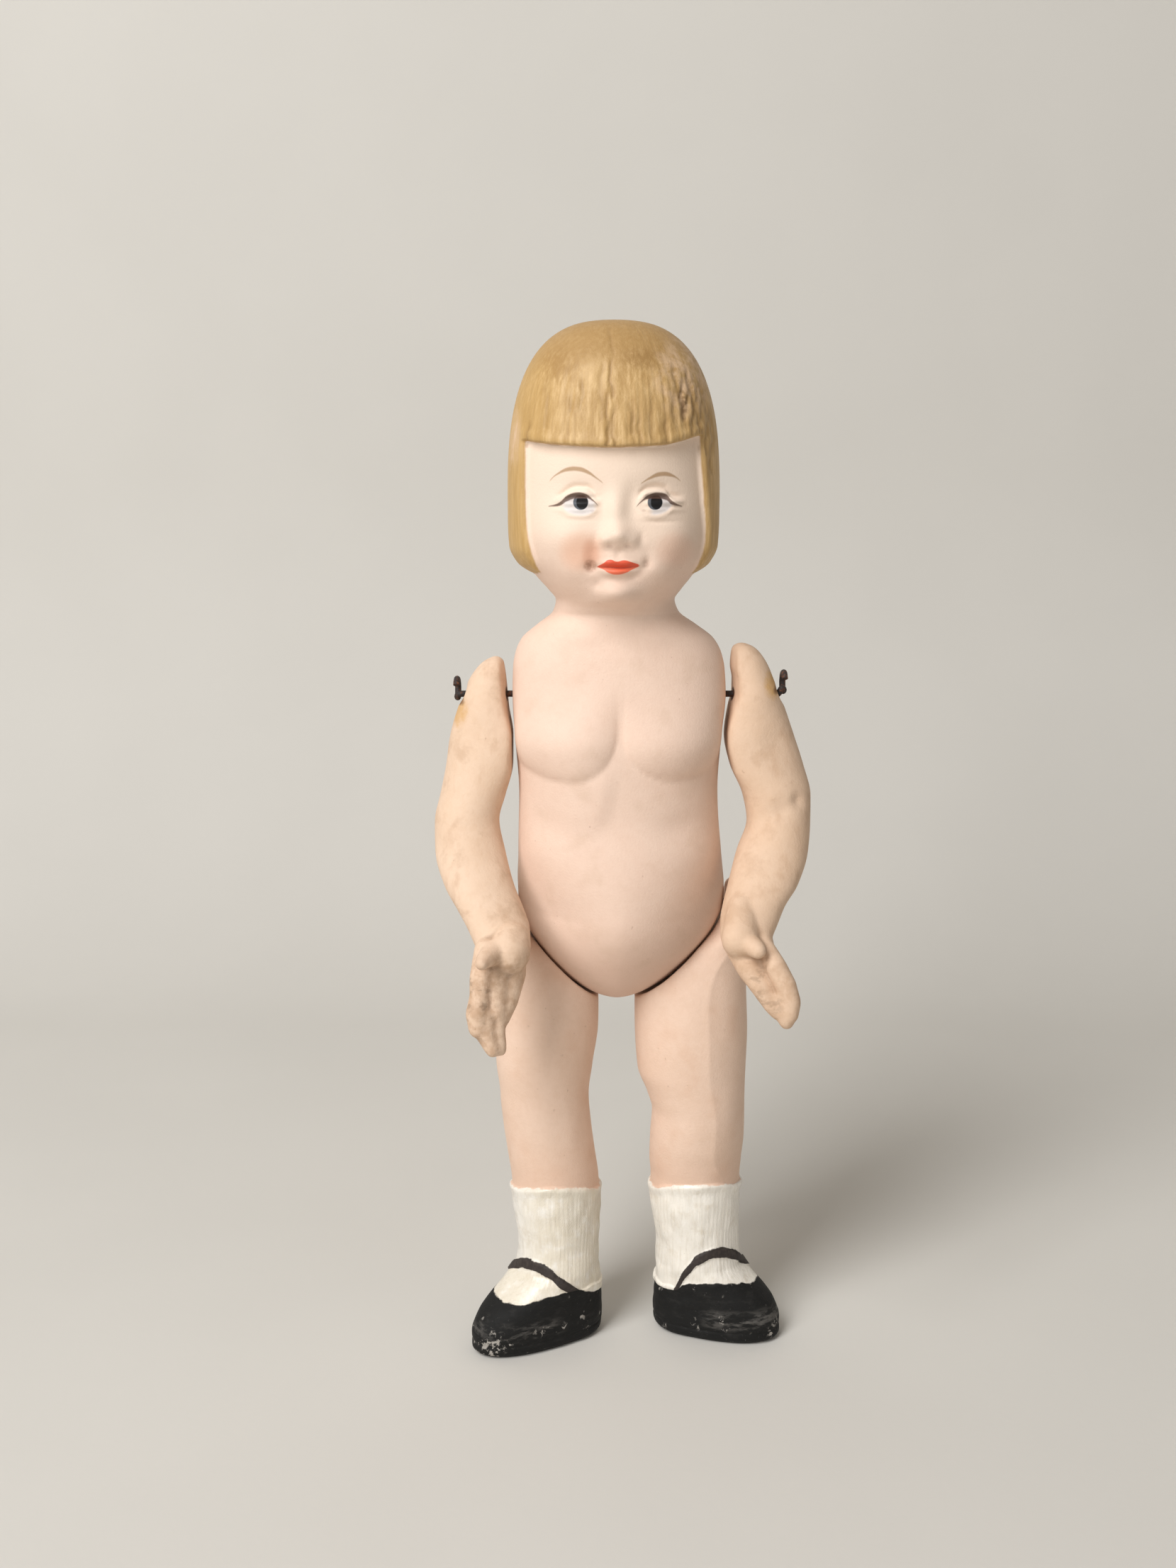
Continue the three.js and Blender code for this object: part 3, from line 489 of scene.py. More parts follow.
# Pink clay with hand-painted hair and face
# Blush, and painted shade in the nostrils: place across and up, width, height, strength and tint
BLUSH_AND_NOSTRIL_SHADE = (
    (-6, 142.7, 4.6, 4, 0.45, (220, 158, 122)), (-4.6, 142.4, 1.8, 3, 0.4, (200, 132, 100)),
    (9, 143, 4, 3.6, 0.25, (226, 166, 136)),
    # The two dark dabs under the nose are painted shade in the nostrils
    (-1.5, 143.5, 0.7, 0.4, 0.22, (150, 108, 90)), (1.4, 143.5, 0.7, 0.4, 0.22, (150, 108, 90)),
)
bisque, doll, (px, py, pz) = new_finish("bisque")
facing = py.ease(-3, -7)
in_front = py.ease(3, -4)
wobble = (doll.noise(1.6, 2) - 0.5) * 0.25


def spread(at_x, at_z, wide, tall):
    """Squared distance from a place on the front, in parts of a width and a height."""
    across, up = (px - at_x) / wide, (pz - at_z) / tall
    return across.math("POWER", 2.0) + up.math("POWER", 2.0)


def dab(at_x, at_z, wide, tall, inner=0.0):
    """A soft round dab of paint on the front."""
    return spread(at_x, at_z, wide, tall).ease(1.0, inner)


def stroke(points, thick, soft):
    """A brush line on the front that thins out towards both ends."""
    first, last = points[0][0], points[-1][0]
    length = last - first
    taper = px.ease(first, first + 0.45 * length) * px.ease(last, last - 0.4 * length) * thick + 0.07
    off = abs(pz + wobble * 0.35 - px.line(points))
    ends = px.ease(first - 0.1, first + 0.25) * px.ease(last + 0.1, last - 0.25)
    return (off - taper).ease(soft, -soft) * ends


shoulder_soil = doll.noise(5, 3).ease(0.52, 0.75) * (1 - pz.ease(126, 134))
colour = clay(doll, (233, 205, 186), (226, 195, 175)).coats(
    # Darker towards the bottom of the belly: partly dirt, partly painted shade where the belly turns under
    (1 - pz.ease(70, 84), 0.5, (214, 176, 154)),
    (shoulder_soil, 0.25, (205, 175, 150)),
    (pz.ease(138, 150) * facing, 0.65, (240, 221, 201)),
)
# Blush, and painted shade in the nostrils
for at_x, at_z, wide, tall, strength, tint in BLUSH_AND_NOSTRIL_SHADE:
    colour = colour.coats((dab(at_x, at_z, wide, tall) * facing, strength, tint))
# Darker patches in the dimples at the mouth corners
dimple_darkening = (doll.noise(0.5, 3, 0.6).ease(0.3, 0.6) * 0.6 + 0.3) * facing
colour = colour.coats(
    (dab(-4.6, 140.4, 1.4, 1.3) * dimple_darkening, 0.65, (134, 90, 66)),
    (dab(4.3, 140.8, 0.8, 0.9) * dimple_darkening, 0.35, (150, 110, 88)),
)

for brow, lash, lid, (eye_x, eye_z) in zip(BROWS, LASHES, LOWER_LIDS, EYES):
    first, last = lash[0][0], lash[-1][0]
    under_lash = (px.line(lash) - pz).ease(-0.05, 0.1) * facing
    opening = under_lash * (pz - px.line(lid)).ease(-0.3, 0.35)
    opening = opening * px.ease(first + 1.8, first + 3) * px.ease(last + 0.1, last - 1)
    iris = dab(eye_x, eye_z, 1.28, 1.28, 0.78) * under_lash
    pupil = dab(eye_x + 0.22, eye_z, 1, 1.2, 0.72) * iris
    corner = dab(eye_x - math.copysign(1.8, eye_x), eye_z - 1.3, 0.45, 0.3) * facing
    # Painted highlight: a paler band along the raised upper lid
    lid_highlight = (abs(pz - px.line(lash) - 0.62) - 0.4).ease(0.3, -0.2) * facing
    lid_highlight = lid_highlight * px.ease(first + 1, first + 3) * px.ease(last + 0.2, last - 1)
    colour = colour.coats(
        (stroke(brow, 0.27, 0.16) * facing, 0.8, (168, 132, 92)),
        (opening, 0.55, (208, 212, 220)),
        (iris, 0.97, (78, 84, 92)),
        (pupil, 1, (12, 12, 14)),
        (corner, 0.22, (160, 124, 106)),
        (lid_highlight, 0.4, (240, 225, 210)),
        (stroke(lash, 0.4, 0.13) * facing, 0.9, (92, 66, 54)),
    )

below_top = (px.line(LIP_TOP) - pz + wobble * 0.3).ease(-0.06, 0.1)
above_low = (pz - px.line(LIP_LOW) + wobble * 0.3).ease(-0.06, 0.12)
lips = below_top * above_low * px.ease(-3.8, -3.3) * px.ease(3.4, 3) * facing
upper_lip = (pz - px.line(LIP_SEAM)).ease(-0.15, 0.25)
seam = (abs(pz - px.line(LIP_SEAM)) - 0.1).ease(0.14, -0.05)
lip_colour = doll.flat(236, 108, 72).coats((upper_lip, 1, (222, 78, 44)), (seam, 0.6, (188, 56, 34)))
colour = colour.under(lips * 0.96, lip_colour)

combed = doll.stretch(1, 1, 0.09).noise(0.75, 3, 0.65)
brushed = combed.ease(0.3, 0.6) * in_front
# Darker towards the crown: partly darker paint, partly painted shade on the top of the head
crown_paint_and_shade = (pz + (doll.noise(7, 2) - 0.5) * 6).ease(169, 175)
worn_top = dab(10.5, 170.5, 6.5, 8) * doll.noise(2.2, 4, 0.6).ease(0.36, 0.62) * in_front
ragged = (doll.noise(1.6, 4, 0.65) - 0.5) * 7
worn_side = px.ease(-15.4, -17) * (abs(pz - 161) - 3 + ragged).ease(3, -2) * (py + ragged).ease(0, -7)
worn_side = worn_side * (combed.ease(0.35, 0.6) * 0.75 + 0.25)
worn_spots = doll.noise(3.1, 4, 0.65).ease(0.66, 0.74) * pz.ease(158, 164)
worn = (worn_top * 0.65).math("MAXIMUM", worn_side * 0.8).math("MAXIMUM", worn_spots * 0.3)
dark_lock = dab(10.3, 166, 0.7, 3.2) * in_front * doll.noise(0.8, 2).ease(0.4, 0.6)
ochre = doll.flat(198, 163, 110).coats(
    (combed.ease(0.4, 0.7), 0.6, (170, 132, 78)),
    (combed.ease(0.5, 0.3), 0.6, (218, 184, 134)),
    (crown_paint_and_shade, 0.7, (166, 130, 80)),
    (px.ease(-9, -15), 0.5, (190, 152, 90)),
    (dab(3.6, 173, 4.4, 2.2) * brushed, 0.5, (146, 110, 62)),
    (dab(-10, 172, 4.4, 3.6) * brushed, 0.4, (158, 120, 66)),
    # Painted highlight: a paler patch on the top front of the hair
    (dab(-3.6, 170.4, 3.6, 3.2) * in_front, 0.5, (214, 180, 128)),
    (doll.mark("groove"), 0.75, (138, 104, 62)),
    (worn, 1, (224, 192, 160)),
    (dark_lock, 0.7, (120, 88, 52)),
)
painted = (doll.mark("hair") + wobble * 0.6).ease(0.3, 0.62)
edge_soil = (abs(doll.mark("hair") - 0.35) - 0.2).ease(0.12, -0.1) * facing * pz.ease(157, 160)
edge_soil = edge_soil * doll.noise(1.3, 2).ease(0.35, 0.65)
colour = colour.under(painted, ochre).coats((edge_soil, 0.5, (158, 124, 84)))
rough = MATTE - painted * 0.1 - lips * 0.15 + (doll.noise(2.5, 2) - 0.5) * 0.12
fine = doll.noise(0.35, 3, 0.6) + painted * combed * 1.4
head_torso.data.materials.append(fire(bisque, colour, rough, fine, 0.05, 0.4))
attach(head_torso, "torso")
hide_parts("head_torso")

# Arms
# Two solid castings of a yellower, dirtier bisque. Each is flattened inside where it lies against the
# body, bowed at the elbow, and ends in a cupped hand with its fingers grown together.

# Level sections: height, inner side, outer side, reach to the front, half depth
RIGHT_ARM = (
    (75, 15.6, 22.4, 17.6, 2.6), (77.4, 14.6, 23.7, 16, 4), (80, 14.7, 25.1, 14, 4.6),
    (82.6, 15.7, 26.8, 12, 4.9), (86.5, 17.6, 29.4, 9, 5.3), (91.5, 19.2, 31.2, 5.2, 5.8),
    (96.5, 20.3, 31.4, 2.8, 5.9), (100.8, 19.2, 30.5, 1.7, 5.9), (105.8, 18, 29.5, 0.9, 5.9),
    (110.7, 18, 28.8, 0.4, 5.7), (115.6, 18.7, 27.4, 0.1, 5), (120.5, 19.1, 25.4, 0, 3.9),
    (122.3, 19.3, 24.2, 0, 3.1), (123.6, 19.5, 22.9, 0, 2), (124.5, 20.3, 21.2, 0, 0.5),
)
LEFT_ARM = (
    (76.4, 18.8, 25, 17.2, 2.6), (78.8, 17.1, 25.8, 15, 4), (81, 17.2, 27, 13, 4.7),
    (83.5, 17.8, 28.3, 11.2, 5), (86.5, 18.8, 30.6, 9, 5.3), (91.5, 20.5, 32.7, 5.4, 5.8),
    (96.5, 22.4, 33.3, 3, 5.9), (100.8, 21.7, 33.4, 1.9, 5.9), (105.8, 19.6, 32.2, 1, 5.9),
    (110.7, 18.7, 30.6, 0.5, 5.8), (115.6, 19.3, 28.9, 0.1, 5.3), (118.4, 19.9, 27.8, 0.1, 4.9),
    (120.5, 19.9, 26.9, 0, 4.4), (122.9, 19.5, 25.9, 0, 3.7), (125.3, 19.6, 24.3, 0, 2.4),
    (126.2, 19.9, 23.2, 0, 1.7), (126.8, 20.8, 21.7, 0, 0.5),
)
# Chains of balls for each hand, as outwards, forwards, up and radius: thumb, palm and fingers
RIGHT_HAND = (
    ((17.8, 17, 78.6, 3.4), (18, 19.2, 77.4, 3.6)),
    ((20.2, 20.4, 77.8, 2.1), (21.2, 22.8, 77.7, 1.7), (21.8, 24.6, 77.6, 1.4), (22.1, 25.8, 77.4, 1.15)),
    ((20.6, 19, 77, 2.7), (20.2, 20.2, 72, 2.3), (20.2, 21.2, 68, 1.9)),
    ((17.9, 16.9, 77, 2.9), (17.8, 18.2, 73.5, 2.6), (18.5, 19.5, 69.5, 2.1), (19.4, 20.6, 66.6, 1.6)),
    ((22, 19.6, 78, 1.8), (22.6, 21.4, 73.6, 1.9), (22.8, 22.2, 70.8, 1.65), (23.2, 22.7, 68, 1.9),
     (23, 22.9, 65.6, 1.65)),
    ((21.9, 22, 67.5, 1.8), (21.7, 22.6, 64.4, 1.7), (20.9, 22.9, 62.6, 1.4), (20.6, 23, 61.9, 1.25)),
    ((19.8, 21, 67.5, 1.6), (19.8, 21.8, 64.8, 1.25), (19.5, 22.1, 62.6, 1.2), (19.4, 22.2, 61.7, 1.1)),
)
LEFT_HAND = (
    ((20.9, 13.2, 83.4, 2.6), (20.5, 15.7, 81.2, 2.9), (20.2, 17.7, 79.2, 3.2)),
    ((21.4, 19.2, 79, 1.9), (22.4, 20.8, 78.6, 1.65), (22.8, 21.7, 78.4, 1.4)),
    ((23.4, 16.6, 78, 2.6), (24.3, 18.2, 74.2, 2.2), (25.7, 19.4, 71, 1.9)),
    ((20.4, 15.6, 77.4, 2.6), (21.7, 18.5, 74.6, 2.2), (23.5, 20.3, 71.9, 1.8), (25.2, 21.3, 69.2, 1.5),
     (26.1, 21.6, 68, 1.3)),
    ((23.2, 15, 80.5, 1.5), (24, 17.6, 78.4, 1.6), (25.9, 20.6, 75.4, 1.8), (27.4, 21.6, 72.6, 1.8),
     (28.2, 22.2, 69.8, 1.75), (28.1, 22.4, 67.8, 1.5)),
    ((26.6, 21.2, 70, 1.7), (27.2, 22, 68, 1.55), (27.5, 22.2, 66.9, 1.4), (27.6, 22.2, 66.5, 1.3)),
)
# Dents in the arms: outwards, forwards, up, size and depth
RIGHT_DENTS = ((29.2, 7.5, 92.6, 1.8, 0.35), (23.5, 5.6, 112, 2.4, 0.25))
LEFT_DENTS = (
    (30.6, 6.6, 100.6, 1.3, 0.55), (27.6, 7.8, 99.2, 1.8, 0.45), (24.6, 8.6, 97.8, 1.6, 0.35),
    (27, 6, 111, 2.6, 0.3),
)
# How far the flat inside each shoulder slants away in front
RIGHT_SLANT = 0.8
LEFT_SLANT = 1
BALLS = 7
OUTSIDE = 22
FLAT_SHARE = 0.5
FLAT_CORNER = 14
HOLE_RADIUS = 1
HOLE_DEPTH = 1.4
HOLE_WEAR = 0.25
ARM_SIDES = 72
FUSE_SIZE = 0.3


def ball(out, forth, up, radius):
    """Rings of points on one ball of a finger."""
    lift = np.radians(np.arange(-80, 81, 20))[:, None]
    around = np.radians(np.arange(0, 360, 22.5))[None]
    level = np.cos(lift)
    unit = rings_of(level * np.cos(around), level * np.sin(around), np.sin(lift))
    return radius * unit + (out, -forth, up)


def points_of(mesh):
    """Places and outward directions of a mesh's points."""
    place, outward = np.empty(len(mesh.vertices) * 3), np.empty(len(mesh.vertices) * 3, np.float32)
    mesh.vertices.foreach_get("co", place)
    mesh.vertex_normals.foreach_get("vector", outward)
    return place.reshape(-1, 3), outward.reshape(-1, 3)


def relax(mesh, place, passes, share):
    """Each point drawn towards its neighbours by a share of the way, several times over."""
    ends = np.empty(len(mesh.edges) * 2, int)
    mesh.edges.foreach_get("vertices", ends)
    a, b = ends.reshape(-1, 2).T
    count = len(place)
    degree = np.bincount(a, minlength=count) + np.bincount(b, minlength=count)
    for _ in range(passes):
        near = [np.bincount(a, line[b], count) + np.bincount(b, line[a], count) for line in place.T]
        place = mix(place, np.stack(near, -1) / degree[:, None], share)
    return place


def evaluated(thing):
    """A copy of an object's mesh as its modifiers leave it."""
    return bpy.data.meshes.new_from_object(thing.evaluated_get(bpy.context.evaluated_depsgraph_get()))


def at_heights(table, height):
    """Each column of a table of level sections at every height; its first column is the sections' own."""
    at, *columns = np.array(table, float).T
    return [curve(*zip(at, column))(height) for column in columns]


def cast_arm(name, side, sections, hand, dents, slant):
    """The arm's skin and the balls of its hand, fused into one smooth casting."""
    wrist, shoulder, tip = (sections[i][0] for i in (0, -3, -1))
    height = np.concatenate([np.arange(wrist, shoulder, 0.5), np.linspace(shoulder, tip, 14)])[:, None]
    inner, outer, reach, deep = at_heights(sections, height)
    turn = np.arange(ARM_SIDES)[None] / ARM_SIDES * 2 * math.pi
    level = np.sin(turn)
    stop = -1 + FLAT_SHARE * ease(98, 110, height)

    def above(level):
        """A level kept above the flat inside, which it meets in a rounded corner."""
        return stop + np.log1p(np.exp((level - stop) * FLAT_CORNER)) / FLAT_CORNER

    least = above(-1)
    share = (np.where(level < stop + 0.2, above(level), level) - least) / (1 - least)
    x = mix(inner + slant * ease(111, 119, height) * np.clip(np.cos(turn), 0, 1), outer, share)
    y = -reach - deep * np.cos(turn)
    points, faces = closed(rings_of(x, y, height))
    for chain in hand:
        for first, last in zip(chain[:-1], chain[1:]):
            for part in np.linspace(0, 1, BALLS):
                more, sides = closed(ball(*mix(np.array(first), np.array(last), part)), len(points))
                points = np.concatenate([points, more])
                faces += sides
    draft = bpy.data.meshes.new(name)
    draft.from_pydata(points.tolist(), [], faces)
    arm = placed(name, draft)
    fuse = arm.modifiers.new("fuse", "REMESH")
    fuse.mode = "VOXEL"
    fuse.voxel_size = FUSE_SIZE
    soften = arm.modifiers.new("soften", "SMOOTH")
    soften.factor = 0.5
    soften.iterations = 5
    cast = evaluated(arm)
    arm.modifiers.clear()
    arm.data = cast
    place, outward = points_of(cast)
    place = relax(cast, place, 4, 0.6 * ease(85, 81, place[:, 2:]))
    for *at, size, depth in dents:
        away = np.linalg.norm(place - np.array(at) * (1, -1, 1), axis=1)[:, None]
        place = place - depth * hump(away, size) * outward
    from_wire = np.hypot(place[:, 1], place[:, 2] - shoulder_height)
    hole = HOLE_DEPTH * ease(1.5, HOLE_RADIUS, from_wire) + HOLE_WEAR * ease(2.2, HOLE_RADIUS, from_wire)
    place[:, 0] -= hole * (place[:, 0] > OUTSIDE)
    cast.vertices.foreach_set("co", ((place * (side, 1, 1) + middle) / METRE).ravel())
    if side < 0:
        cast.flip_normals()
    cast.shade_smooth()
    place, outward = points_of(cast)
    # Darker in the hollows of the hand: dirt and painted shade
    dip = ((relax(cast, place, 14, 0.8) - place) * outward).sum(1) * METRE
    soil = np.clip(dip * 5, 0, 1) * ease(0.095, 0.078, place[:, 2])
    cast.attributes.new("soil", "FLOAT", "POINT").data.foreach_set("value", soil.astype(np.float32))
    return arm


arm_bisque, doll, (px, py, pz) = new_finish("arm_bisque")
smear = doll.stretch(1, 1, 0.35).noise(2.6, 4, 0.6).ease(0.5, 0.75)
# Darker fronts of the hands: dirt from handling and painted shade
hand_dirt_and_shade = pz.ease(80, 76) * doll.noise(2.2, 4, 0.6).ease(0.35, 0.65) * py.ease(-17, -20)
hand_dirt_and_shade = hand_dirt_and_shade * (0.35 + px.ease(5, -5) * 0.15)
# Dirt and painted shade in the hollows of the hands
creases = doll.mark("soil").ease(0.1, 0.9) * doll.noise(1.2, 4, 0.6).ease(0.1, 0.6)
# Darker patches in the palms: dirt and painted shade in the cupped hands
palm = pz.ease(77, 75) * py.ease(-18.5, -20.5) * pz.ease(62, 65) * abs(abs(px) - 23.5).ease(4.5, 2)
palm_dirt_and_shade = doll.stretch(0.6, 1, 1).noise(1.8, 4, 0.6).ease(0.52, 0.66) * palm
from_elbow = abs(pz - 100 - (px - 28) * 0.3 + (doll.noise(1.8, 4) - 0.5) * 3)
fold = (from_elbow - 0.3).ease(1.8, -0.1) * px.ease(23, 28) * py.ease(-3, -5)
wire_up = pz - float(shoulder_height)
wire_off = (py * py + wire_up * wire_up).math("SQRT")


def patch(at_x, at_z, wide, tall):
    """A ragged round stain on the outer edge of an arm."""
    ragged = (doll.noise(1.2, 3) - 0.5) * 0.9
    return (spread(at_x, at_z, wide, tall) + ragged).ease(1.0, 0.05)


stain = patch(-27.6, 115.6, 2.6, 3.4).math("MAXIMUM", patch(26.8, 120, 2.4, 3))
rust = (wire_off + doll.noise(0.7, 3)).ease(2.6, 1.5) * abs(px).ease(24, 25)
for spot in ((-26.9, 117.1, 1.1, 1.1), (27.2, 119, 0.8, 1.1)):
    rust = rust.math("MAXIMUM", patch(*spot))
colour = clay(doll, (229, 201, 176), (219, 187, 158)).coats(
    (smear, 0.4, (190, 152, 120)),
    (doll.noise(5, 4, 0.65).ease(0.52, 0.7), 0.3, (176, 140, 108)),
    (hand_dirt_and_shade, 1, (176, 138, 106)),
    (creases, 0.5, (122, 90, 66)),
    (palm_dirt_and_shade, 0.4, (106, 82, 64)),
    (fold, 0.1, (126, 94, 70)),
    (px.ease(-5, 5), 0.3, (200, 166, 136)),
    (stain, 0.7, (206, 158, 88)),
    (rust, 0.75, (98, 58, 30)),
    (wire_off.ease(1.5, 0.9), 1, (70, 42, 26)),
)
relief = doll.noise(0.4, 3, 0.6) + doll.noise(2.6, 2) * 1.5
fire(arm_bisque, colour, 0.66 - smear * 0.06, relief, 0.06, 0.35)

for body, side, sections, hand, dents, slant in (
    ("right_arm", -1, RIGHT_ARM, RIGHT_HAND, RIGHT_DENTS, RIGHT_SLANT),
    ("left_arm", 1, LEFT_ARM, LEFT_HAND, LEFT_DENTS, LEFT_SLANT),
):
    arm = cast_arm(body + "_casting", side, sections, hand, dents, slant)
    arm.data.materials.clear()
    arm.data.materials.append(arm_bisque)
    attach(arm, body)
    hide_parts(body)

# Legs
# Two castings in the body's pink bisque, hollowed at the top to lie round the seat. Ribbed socks with a
# rolled cuff and strapped shoes are moulded on: white and black paint, worn at the toes and edges.
HIP_FACE = 18.9
HIP_OUTER = 22.7
EAR_RADIUS = 4.4
SEAT_GAP = 0.32
HOLLOW_FROM = 55
SWING_ANGLES = (-45, -36, -27, -18, -9, 0, 6, 12, 18, 24, 30, 36)
LEG_SIDES = 168
STRAP_HALF = 0.95
FOOT_POWER = 2.6
FOOT_FLAT = 0.46

# Level sections above the ankle: height, inner side, outer side, setback, half depth
# The strap, shoe edge and cuff are heights at angles round the foot, from the toe: inside is below nought
RIGHT_LEG = {
    "side": -1, "ankle": (10.5, 1), "turn": 56, "toe": 17.4, "seam": 0, "worn": 0.2, "cream": 0.45,
    "strap": ((-88, 9.6), (-72, 11.4), (-58, 12.9), (-44, 14.4), (-25, 15.1), (-6, 15), (12, 14),
              (45, 11.6), (80, 9)),
    "shoe": ((-180, 8.2), (-125, 8.8), (-102, 9.7), (-79, 10.7), (-61, 10.7), (-33, 9.8), (-17, 9.3),
             (0, 9.3), (45, 9.2), (90, 8.8), (180, 8.2)),
    "cuff": ((-180, 28.4), (-125, 28.7), (-90, 30.1), (-55, 30.7), (-20, 30.1), (15, 28.9), (60, 28.4),
             (180, 28.4)),
    "shank": ((13.5, 3.2, 17.9, 1, 7.3), (17, 3.3, 17.5, 1, 7.1), (22, 3.1, 18, 1, 7.5),
              (26.5, 2.9, 18.7, 1, 7.9), (29.8, 3.1, 18.8, 1, 7.85), (35, 3.8, 19.6, 1.1, 7.9),
              (40.3, 4.5, 20.3, 1.2, 7.9), (45.7, 4.9, 20.8, 1.2, 8), (51, 4.2, 21.4, 1.3, 8.5),
              (58, 3.2, 21.5, 1.6, 8.9)),
}
LEFT_LEG = {
    "side": 1, "ankle": (15.2, 3.2), "turn": 68, "toe": 15.4, "seam": 0.28, "worn": 0.08, "cream": 0.12,
    "strap": ((-104, 8.8), (-97, 10.8), (-90, 12.6), (-81, 14.3), (-69, 16.1), (-48, 17), (-20, 15.9),
              (18, 12.6), (60, 10), (80, 9)),
    "shoe": ((-180, 8.6), (-115, 9), (-102, 9.3), (-91, 10.7), (-67, 11.3), (-48, 11.4), (-22, 10.9),
             (0, 10), (45, 9.2), (90, 8.8), (180, 8.6)),
    "cuff": ((-180, 28), (-140, 28), (-110, 29.5), (-80, 30.4), (-49, 30.3), (0, 28.6), (60, 28.2),
             (180, 28)),
    "shank": ((13.5, 7.8, 22.8, 3.2, 7.6), (17, 7.8, 22.6, 3.2, 7.4), (21, 7.2, 22.5, 3.2, 7.6),
              (25.5, 6.5, 22.7, 3.2, 8), (29.6, 6.5, 22.7, 3.1, 8), (33, 6.2, 22.9, 2.7, 8.2),
              (37.5, 6.3, 23.2, 1.9, 8.4), (42.6, 6.6, 23.2, 1.3, 8.4), (46, 5.7, 23.2, 1.2, 8.5),
              (50.7, 3.9, 23.3, 1.3, 8.8), (58, 3.4, 23.5, 1.6, 9)),
}


def body_half(across, up):
    """Half width of the trunk at a place in its middle plane."""
    centre = trunk_middle(up)
    span = np.where(across < centre, trunk_front(up) + centre, trunk_back(up) - centre)
    away = np.clip(np.abs(across - centre) / (span + SEAT_GAP), 0, 1)
    trunk = (trunk_half(up) + SEAT_GAP) * (1 - away ** trunk_power(up)) ** trunk_flat(up)
    depth = (across - hip_back) * np.where(across > hip_back, SEAT_RADIUS / SEAT_BACK, 1)
    seat = seat_half(np.hypot(depth, up - hip_height), SEAT_GAP)
    return np.where(up < hip_height, seat, np.maximum(trunk, 0))


def from_toe(leg, out, back):
    """How far a place lies ahead and aside of the ankle, looking the way the toe points."""
    aim = math.radians(leg["turn"])
    out, back = out - leg["ankle"][0], back - leg["ankle"][1]
    return out * math.sin(aim) - back * math.cos(aim), out * math.cos(aim) + back * math.sin(aim)


